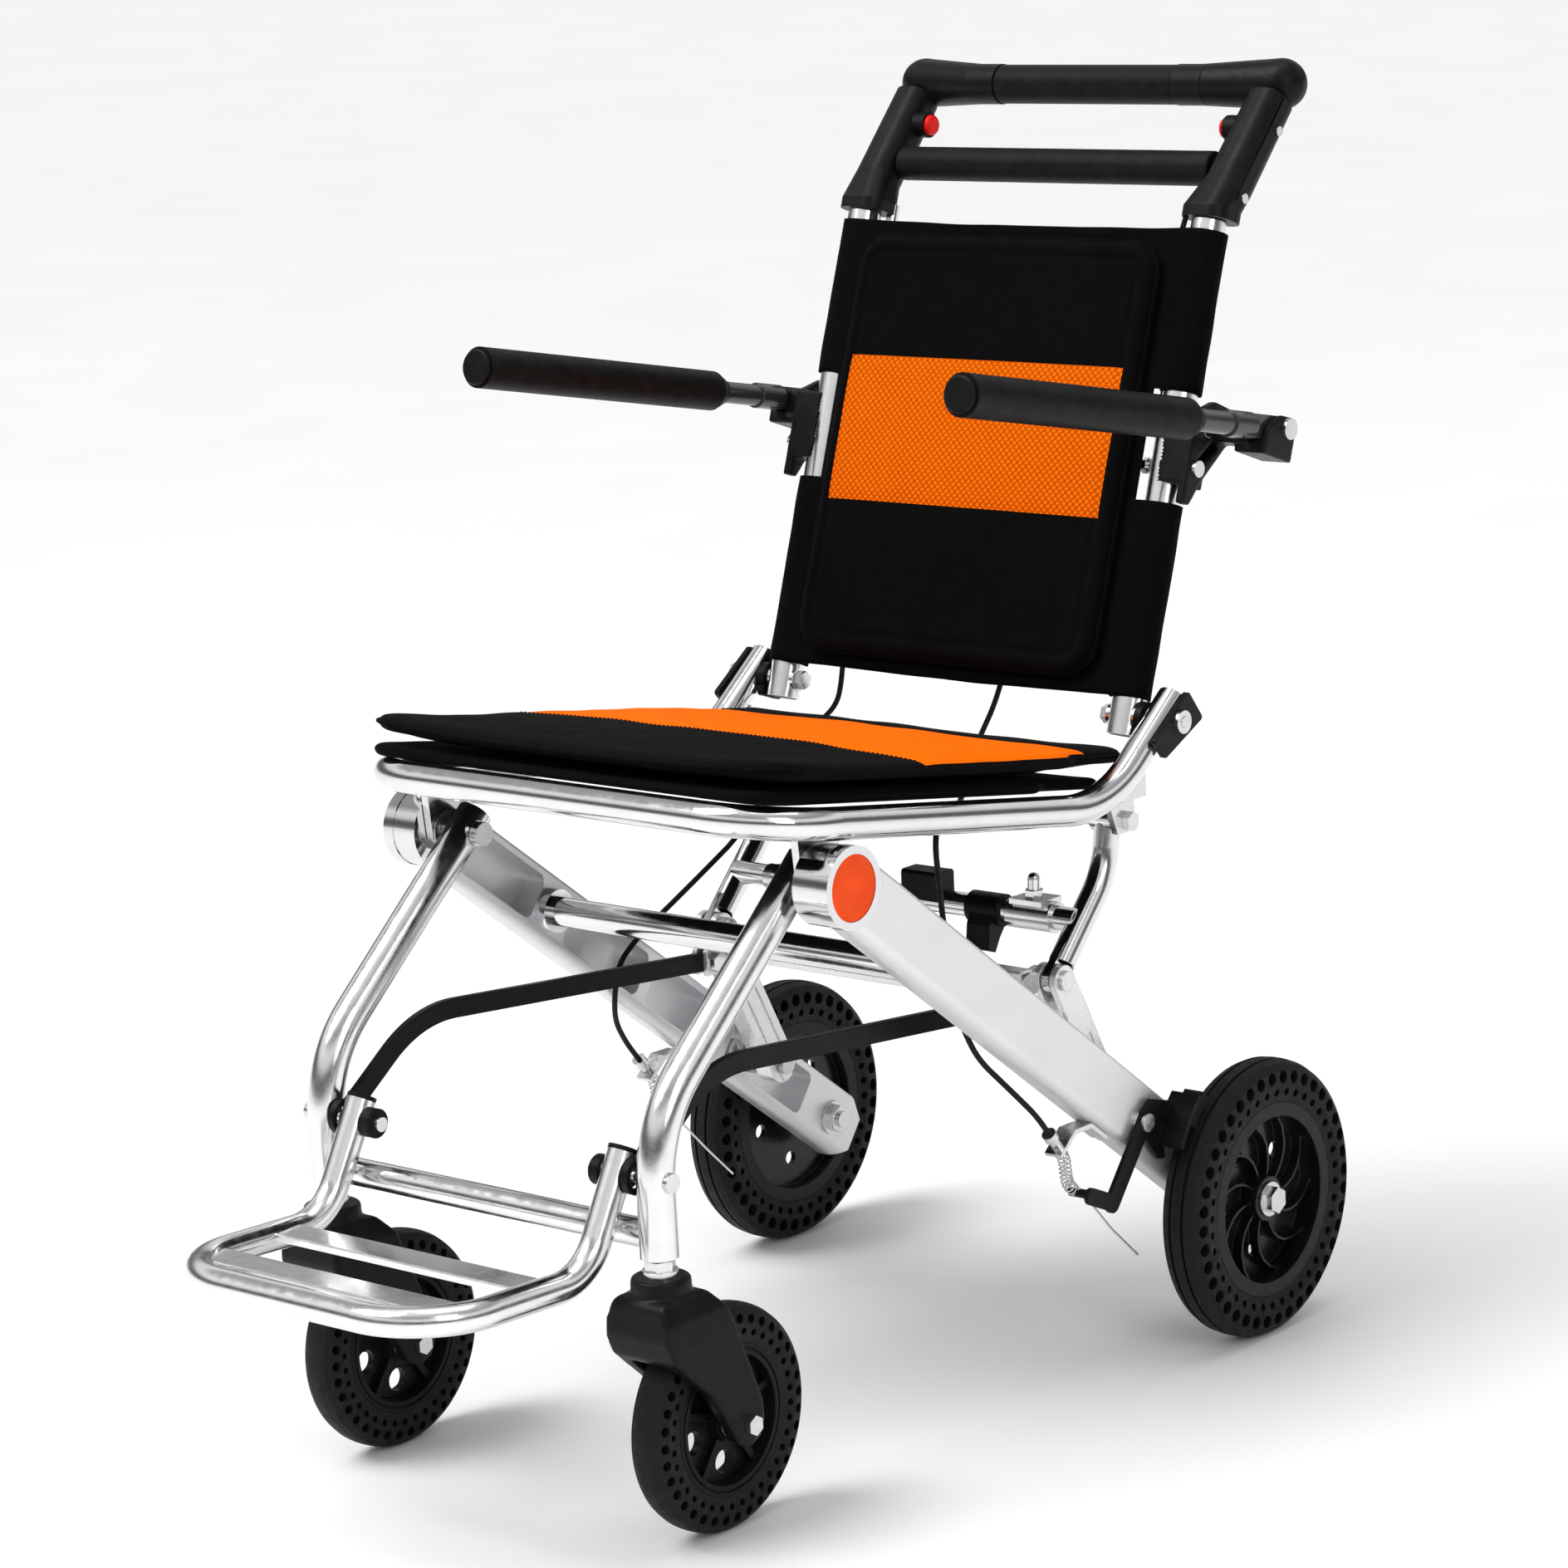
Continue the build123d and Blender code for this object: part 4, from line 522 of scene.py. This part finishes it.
def seat_lift(x, v):
    # the pad turns up a little at the front corners and lies slack along the middle of the front edge
    f = max(0.0, min(1.0, (-v - 90.0) / 95.0))
    b = max(0.0, min(1.0, (v - 120.0) / 80.0))
    return f * f * (4.8 * (abs(x) / 185.0) ** 3 - 2.2 * (1 - (abs(x) / 185.0) ** 2)) + 1.5 * b * (abs(x) / 172.0) ** 4


def c_depth(x, v):
    return depth(x, v, c_hw, CV0, CV1, CRF, CRB)


def rim(v):
    """height of the pad's edge line: it curls up off the sling, most at the rear"""
    return 20.6 + 1.9 * (v + 190.0) / 390.0


def c_top(x, v):
    f = dome(c_depth(x, v), 13.0)
    crown = 4.2 * (1 - (x / 186.0) ** 2) * (1 - ((v - 5) / 198.0) ** 2)
    # seams beside the coloured band
    seam = 1.1 * (math.exp(-((v - BAND0) / 3.0) ** 2) + math.exp(-((v - BAND1) / 3.0) ** 2))
    return rim(v) + f * (5.4 + crown - seam) + 0.8 * wob(x, v) * f + seat_lift(x, v)


def c_bot(x, v):
    d = c_depth(x, v)
    f = dome(d, 10.0)
    g = max(0.0, min(1.0, (d - 8.0) / 34.0))
    return rim(v) - f * 5.2 - (rim(v) - 15.8) * g * g * (3 - 2 * g) + seat_lift(x, v) * 0.6


BAND0, BAND1 = -38.0, 153.5
cushion = pillow("seat_cushion_pad", c_hw, c_rows, c_top, c_bot, seat, lambda x, v, s: 1 if (s == 0 and BAND0 < v < BAND1 and c_depth(x, v) > 2.2) else 0,
                 [M["fab_seat"], M["mesh_seat"]], 84)
sub(cushion)
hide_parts("seat_cushion")
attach(cushion, "seat_frame")

# piping round the cushion's edge
piping = curve_tube("cushion_piping", rim_line(c_hw, c_rows, lambda x, v: (c_top(x, v) + c_bot(x, v)) / 2, seat), 0.0015, M["fab_sling"], True)
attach(piping, "seat_frame")


def stitch(name, ends, place, body, n, mat, ln=2.6, r=0.35, h=0.0):
    """a row of short thread stitches between two points"""
    (x0, v0), (x1, v1) = ends
    L = math.hypot(x1 - x0, v1 - v0)
    verts, faces = [], []
    k = int(L / (ln * 1.5))
    dx, dv = (x1 - x0) / L, (v1 - v0) / L
    for i in range(k):
        t0 = (i + 0.17) * L / k
        t1 = t0 + ln
        ring = []
        for t, rr in ((t0, 0.12), (t0 + 0.35, 1.0), (t1 - 0.35, 1.0), (t1, 0.12)):
            x, v = x0 + dx * t, v0 + dv * t
            b = len(verts)
            for a in range(6):
                ca, sa_ = math.cos(a * math.pi / 3), math.sin(a * math.pi / 3)
                verts.append(place(x - dv * r * rr * ca, v + dx * r * rr * ca, h(x, v) + r * rr * sa_ if callable(h) else h + r * rr * sa_))
            ring.append(b)
        for p, q in zip(ring, ring[1:]):
            for a in range(6):
                faces.append((p + a, p + (a + 1) % 6, q + (a + 1) % 6, q + a))
        faces.append([ring[0] + a for a in range(6)][::-1])
        faces.append([ring[-1] + a for a in range(6)])
    o = new_obj(name, verts, faces, mat)
    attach(o, body)
    return o


for k, vv in enumerate((BAND0 - 4.5, BAND1 + 4.5)):
    we = c_hw(vv) - 8
    s_ = stitch("seat_stitch_%d" % (k + 1), ((-we, vv), (we, vv)), seat, "seat_frame", 0, M["thread"], h=lambda x, v: c_top(x, v) + 0.1)

# lower sling: slack fabric layer that hangs between the rails
SV0, SV1, SRF, SRB = -197.0, 175.5, 29.0, 11.0
s_hw = outline(183.0, 172.0, 86.0, 108.0, SV0, SV1, SRF, SRB)
s_rows = spaced(SV0, SV1, SRF, SRB, 56)


def s_top(x, v):
    f = dome(depth(x, v, s_hw, SV0, SV1, SRF, SRB), 6.0)
    sag = 2.2 * (1 - (x / 184.0) ** 2)
    return 5.6 + f * 3.4 - sag + 0.4 * wob(x, v, 5.0) * f


def s_bot(x, v):
    d = depth(x, v, s_hw, SV0, SV1, SRF, SRB)
    f = dome(d, 6.0)
    inner = max(0.0, min(1.0, (160.0 - abs(x)) / 30.0)) * max(0.0, min(1.0, (v - SV0 - 24.0) / 30.0)) * max(0.0, min(1.0, (SV1 - v - 8.0) / 30.0))
    return 5.2 - f * 4.5 - 3.0 * inner


sling = pillow("seat_sling_cloth", s_hw, s_rows, s_top, s_bot, seat, lambda x, v, s: 0, [M["fab_sling"]], 60)
sub(sling)
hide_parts("seat_sling")
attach(sling, "seat_frame")

# ------------------------------------------------------------------ backrest sling with post sleeves
PX, PR = 155.0, 14.2
Z0, Z1, ZA, ZB = 12.0, 344.0, 150.0, 229.0


def sling_section(z):
    """half section of the fabric from the middle to round the post (x, y outer side)"""
    pts = []
    pull = 0.5 * math.sin((z - Z0) / (Z1 - Z0) * math.pi)
    for i in range(15):
        x = i / 14 * (PX - 2.0)
        pts.append((x, -PR - 0.3 + 0.8 * pull * (1 - (x / PX) ** 2)))
    for i in range(1, 25):
        a = -math.pi / 2 + i / 24 * 2 * math.pi * 0.93
        rr = PR + 0.5 * wob(z * 1.5, i * 12.0, 1.0) * (0.8 if 3 < i < 20 else 0.3)
        pts.append((PX + rr * math.cos(a), rr * math.sin(a)))
    return pts


def build_back_sling():
    nz = 96
    zs = [Z0 + (Z1 - Z0) * k / nz for k in range(nz + 1)]
    # snap rows to the cut-outs
    for t in (ZA, ZB):
        k = min(range(nz + 1), key=lambda q: abs(zs[q] - t))
        zs[k] = t
    verts, faces = [], []
    cols = None
    rows = []
    for z in zs:
        h = sling_section(z)
        full = [(-x, y) for x, y in h[::-1][:-1]] + h
        cols = len(full)
        row = []
        for j, (x, y) in enumerate(full):
            zz = z
            # hems droop a little in the middle
            if z == Z0:
                zz = z - 1.6 * (1 - (x / PX) ** 2) + 0.5 * wob(x, 0, 4.0)
            if z == Z1:
                zz = z - 2.2 * (1 - min(1, abs(x) / PX) ** 2) + 0.5 * wob(x, 0, 7.0)
            row.append(len(verts))
            verts.append(back(x, y, zz))
        rows.append(row)
    for k in range(nz):
        zc = (zs[k] + zs[k + 1]) / 2
        for j in range(cols - 1):
            h = sling_section(zc)
            full = [(-x, y) for x, y in h[::-1][:-1]] + h
            xm = (full[j][0] + full[j + 1][0]) / 2
            if ZA < zc < ZB and abs(xm) > 137.0:
                continue
            faces.append((rows[k][j], rows[k][j + 1], rows[k + 1][j + 1], rows[k + 1][j]))
    o = new_obj("backrest_sling_cloth", verts, faces, M["fab_back"])
    bm = bmesh.new()
    bm.from_mesh(o.data)
    loose = [v for v in bm.verts if not v.link_faces]
    bmesh.ops.delete(bm, geom=loose, context="VERTS")
    bm.to_mesh(o.data)
    bm.free()
    for p in o.data.polygons:
        p.use_smooth = True
    md = o.modifiers.new("thick", "SOLIDIFY")
    md.thickness = 0.0014
    md.offset = 0.0
    return o


bsl = build_back_sling()
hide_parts("backrest_sling")
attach(bsl, "backrest")

# ------------------------------------------------------------------ backrest pad
BV0, BV1, BRAD, BWID = 22.0, 331.0, 24.0, 133.0
b_hw = outline(BWID, BWID, 100.0, 200.0, BV0, BV1, BRAD, BRAD)
b_rows = spaced(BV0, BV1, BRAD, BRAD, 78)
PY = -PR - 1.2
BB0, BB1 = 133.0, 238.5


def b_depth(x, v):
    return depth(x, v, b_hw, BV0, BV1, BRAD, BRAD)


def b_face(x, v):
    d = b_depth(x, v)
    f = dome(d, 9.0)
    crown = 2.6 * (1 - (x / BWID) ** 2) * (1 - ((v - 176.5) / 155.0) ** 2)
    # rolled border, then a stitched channel, then the slightly sunk middle
    ch = 2.2 * math.exp(-((d - 13.0) / 2.4) ** 2)
    mid = 1.2 * max(0.0, min(1.0, (d - 13.0) / 10.0))
    seam = 0.9 * (math.exp(-((v - BB0) / 2.6) ** 2) + math.exp(-((v - BB1) / 2.6) ** 2)) if d > 10 else 0.0
    return 4.6 + f * 8.0 - ch - mid + crown * f - seam + 0.55 * wob(x * 0.9, v * 0.9, 9.0) * f


def b_rear(x, v):
    return 4.6 - dome(b_depth(x, v), 8.0) * 3.9


def place_back(x, v, w):
    return back(x, PY - w, v)


def band_mat(x, v, s):
    return 1 if (s == 0 and BB0 < v < BB1 and b_depth(x, v) > 12.0) else 0


pad = pillow("backrest_padded_panel", b_hw, b_rows, b_face, b_rear, place_back, band_mat, [M["fab_back"], M["mesh_back"]], 84)
bm = bmesh.new()
bm.from_mesh(pad.data)
bmesh.ops.recalc_face_normals(bm, faces=bm.faces)
bm.to_mesh(pad.data)
bm.free()
sub(pad)
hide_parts("backrest_pad")
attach(pad, "backrest")
pip2 = curve_tube("panel_piping", rim_line(b_hw, b_rows, lambda x, v: 4.6, place_back), 0.0018, M["fab_back"], True)
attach(pip2, "backrest")

# ------------------------------------------------------------------ brake cables: the stretches between the frame, the backrest and the handle
R_CAB = 0.002


def lay(x, y, z):
    """side view layout (mm) to row frame (m)"""
    return Vector((x, y - MID_Y, z)) * MM


def curve_line(pts, res=10):
    """points along the smooth curve that these control points give"""
    cu = bpy.data.curves.new("line", "CURVE")
    cu.dimensions = "3D"
    sp = cu.splines.new("NURBS")
    sp.points.add(len(pts) - 1)
    for p_, q in zip(sp.points, pts):
        p_.co = (*q, 1)
    sp.order_u = 3
    sp.use_endpoint_u = True
    cu.resolution_u = res
    o = bpy.data.objects.new("line", cu)
    bpy.context.scene.collection.objects.link(o)
    bpy.context.view_layer.update()
    me = bpy.data.meshes.new_from_object(o)
    out = [v.co.copy() for v in me.vertices]
    bpy.data.meshes.remove(me)
    bpy.data.objects.remove(o)
    bpy.data.curves.remove(cu)
    return out


def frames(line):
    """a turning-free frame at each point of a line"""
    n = len(line)
    tan = [(line[min(i + 1, n - 1)] - line[max(i - 1, 0)]).normalized() for i in range(n)]
    u = tan[0].orthogonal().normalized()
    out = []
    for i in range(n):
        u = (u - tan[i] * u.dot(tan[i])).normalized()
        out.append((line[i], tan[i], u, tan[i].cross(u)))
    return out


def mesh_tube(name, line, r, mat, sides=14):
    verts, faces = [], []
    fr = frames(line)
    for p_, t, u, w_ in fr:
        for k in range(sides):
            a = 2 * math.pi * k / sides
            verts.append(p_ + (u * math.cos(a) + w_ * math.sin(a)) * r)
    for i in range(len(fr) - 1):
        for k in range(sides):
            a, b = i * sides + k, i * sides + (k + 1) % sides
            faces.append((a, b, b + sides, a + sides))
    faces.append(list(range(sides))[::-1])
    faces.append([(len(fr) - 1) * sides + k for k in range(sides)])
    return new_obj(name, verts, faces, mat)


def held(name, pts):
    """a stretch of cable between two bodies, drawn as a tube along the given points"""
    line = curve_line(pts)
    o = mesh_tube(name, line, R_CAB, M["rubber"])
    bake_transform(o)
    return line


nA = [lay(165, 14, 397.5), lay(164.6, 13.8, 407), lay(160, 22, 417), lay(145, 45, 414), lay(128, 70, 408), lay(110, 95, 403)]
nB = [lay(110, 95, 403), lay(92, 120, 398), lay(62, 172, 395), lay(30, 224, 400), (lay(14, 250, 412)), lay(15, 262, 427), lay(27, 262, 448), lay(38, 258, 470)]
nC = [lay(38, 258, 470), back(46, 4, 40), back(62, -2, 90), back(90, -6, 160), back(114, -8, 230), back(130, -8, 290), back(138, -8, 335), back(140, -7, 356)]
fA = [lay(-167.4, 183.6, 334.8), lay(-168, 192, 338.6), lay(-169, 212, 350), lay(-168.5, 232, 366), lay(-162, 246, 384), lay(-150, 254, 402)]
fB = [lay(-150, 254, 402), lay(-138, 261, 418), lay(-124, 264, 431), lay(-117, 263, 448), lay(-110, 258, 470)]
fC = [lay(-110, 258, 470), back(-109, 3, 45), back(-112, -4, 90), back(-118, -7, 160), back(-124, -8, 230), back(-131, -8, 290), back(-138, -8, 335), back(-140, -7, 356)]
CABLE_LEN = {}
for nm, pts, a_, b_ in (("brake_cable_left_lower_bend", nA, "base", "seat_frame"), ("brake_cable_left_seat_bend", nB, "seat_frame", "backrest"), ("brake_cable_left_back_run", nC, "backrest", "handle"),
                        ("brake_cable_right_lower_bend", fA, "base", "seat_frame"), ("brake_cable_right_seat_bend", fB, "seat_frame", "backrest"), ("brake_cable_right_back_run", fC, "backrest", "handle")):
    ln = held(nm, pts)
    CABLE_LEN[nm] = sum((q - p_).length for p_, q in zip(ln, ln[1:]))
print("cable stretches", {k: round(v * 1000) for k, v in CABLE_LEN.items()})

# ------------------------------------------------------------------ return springs round the bare wire, from the ferrule to the lever's foot
for sd, sx_ in (("left", 1), ("right", -1)):
    axis = [lay(sx_ * 187, 110.0, 174.8), lay(sx_ * 187, 112.6, 169.5), lay(sx_ * 187, 113.6, 162), lay(sx_ * 187, 114.6, 154), lay(sx_ * 187, 118.6, 147.5), lay(sx_ * 187, 123.6, 144.6)]
    line = curve_line(axis, 60)
    fr = frames(line)
    L_ = [0.0]
    for p_, q in zip(line, line[1:]):
        L_.append(L_[-1] + (q - p_).length)
    pts = []
    turns, rc = 11.0, 0.0041
    for (p_, t, u, w_), l_ in zip(fr, L_):
        f = l_ / L_[-1]
        ph = 2 * math.pi * turns * f
        rr = rc * (0.86 + 0.14 * min(1.0, min(f, 1 - f) / 0.08))
        pts.append(p_ + (u * math.cos(ph) + w_ * math.sin(ph)) * rr)
    coil = mesh_tube("brake_return_spring_" + sd, pts, 0.0006, M["bright"], 8)
    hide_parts("brake_springs")
    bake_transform(coil)
    wire = mesh_tube("brake_wire_" + sd, line[::6] + [line[-1]], 0.0008, M["bright"], 8)
    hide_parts("brake_springs")
    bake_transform(wire)

# ------------------------------------------------------------------ stage, light and camera
def stage():
    me = bpy.data.meshes.new("floor")
    me.from_pydata([(-45, -20, 0), (45, -20, 0), (45, 60, 0), (-45, 60, 0)], [], [(0, 1, 2, 3)])
    o = bpy.data.objects.new("floor", me)
    bpy.context.scene.collection.objects.link(o)
    m = Mat("pale_floor", (0.94, 0.94, 0.94), 0.6)
    m.color_from(m.ramp(m.noise(0.8, 2), [(0.3, (0.935, 0.935, 0.935)), (0.7, (0.955, 0.955, 0.955))]))
    m.rough(m.noise(3.0, 2), 0.55, 0.65)
    me.materials.append(m.m)


stage()
w = bpy.data.worlds.new("studio")
bpy.context.scene.world = w
w.use_nodes = True
wt = w.node_tree
bg = wt.nodes["Background"]
tc = wt.nodes.new("ShaderNodeTexCoord")
sx = wt.nodes.new("ShaderNodeSeparateXYZ")
wt.links.new(tc.outputs["Generated"], sx.inputs[0])
rp = wt.nodes.new("ShaderNodeValToRGB")
e = rp.color_ramp.elements
e[0].position = 0.0
e[0].color = (0.9, 0.9, 0.9, 1)
e[1].position = 1.0
e[1].color = (1.05, 1.05, 1.06, 1)
for p_, c_ in ((0.49, 0.85), (0.515, 0.30), (0.57, 0.12), (0.63, 0.16), (0.69, 0.85), (0.76, 1.0), (0.83, 0.34), (0.92, 0.55)):
    q = e.new(p_)
    q.color = (c_, c_, c_ * 1.01, 1)
ma = wt.nodes.new("ShaderNodeMapRange")
ma.inputs["From Min"].default_value = -1
ma.inputs["From Max"].default_value = 1
wt.links.new(sx.outputs[2], ma.inputs["Value"])
wt.links.new(ma.outputs[0], rp.inputs[0])
wt.links.new(rp.outputs[0], bg.inputs[0])
bg.inputs[1].default_value = 0.9
# what is seen past the floor is the plain pale backdrop; the bands only light and reflect
bd = wt.nodes.new("ShaderNodeBackground")
bd.inputs[0].default_value = (1.0, 1.0, 1.0, 1)
bd.inputs[1].default_value = 1.0
lp = wt.nodes.new("ShaderNodeLightPath")
mx = wt.nodes.new("ShaderNodeMixShader")
wt.links.new(lp.outputs["Is Camera Ray"], mx.inputs[0])
wt.links.new(bg.outputs[0], mx.inputs[1])
wt.links.new(bd.outputs[0], mx.inputs[2])
wt.links.new(mx.outputs[0], wt.nodes["World Output"].inputs["Surface"])


def area(name, loc, target, size, power, sy=None):
    l = bpy.data.lights.new(name, "AREA")
    l.energy = power
    l.size = size
    if sy:
        l.shape = "RECTANGLE"
        l.size_y = sy
    o = bpy.data.objects.new(name, l)
    o.location = loc
    o.rotation_euler = (Vector(target) - Vector(loc)).to_track_quat("-Z", "Y").to_euler()
    bpy.context.scene.collection.objects.link(o)


sun = bpy.data.lights.new("key_sun", "SUN")
sun.energy = 1.75
sun.angle = math.radians(34)
so = bpy.data.objects.new("key_sun", sun)
so.rotation_euler = (Vector((0, 0, 0)) - Vector((-1.5, -1.9, 3.9))).to_track_quat("-Z", "Y").to_euler()
bpy.context.scene.collection.objects.link(so)
area("key", (-1.9, -2.6, 3.6), (0, 0, 0.3), 1.4, 34, 1.4)
area("fill", (2.9, -1.2, 2.2), (0, 0, 0.45), 1.2, 22, 2.0)
area("top", (0.3, 0.6, 4.2), (0, 0, 0.3), 2.4, 22, 2.4)

a, el, roll = math.radians(40.54), math.radians(11.93), math.radians(-2.71)
fwd = Vector((-math.sin(a) * math.cos(el), math.cos(a) * math.cos(el), -math.sin(el)))
right0 = fwd.cross(Vector((0, 0, 1))).normalized()
up0 = right0.cross(fwd)
right = math.cos(roll) * right0 + math.sin(roll) * up0
up = -math.sin(roll) * right0 + math.cos(roll) * up0
cd = bpy.data.cameras.new("cam")
cd.sensor_width = 36
cd.lens = 5600.4 / 1888 * 36
cd.clip_start = 0.05
cd.clip_end = 60
cam = bpy.data.objects.new("cam", cd)
bpy.context.scene.collection.objects.link(cam)
mw = Matrix((right, up, -fwd)).transposed().to_4x4()
mw.translation = Vector((2.0377, -2.3268 - MID_Y * MM, 1.0865))
cam.matrix_world = mw
bpy.context.scene.camera = cam
bpy.context.scene.view_settings.view_transform = "Standard"
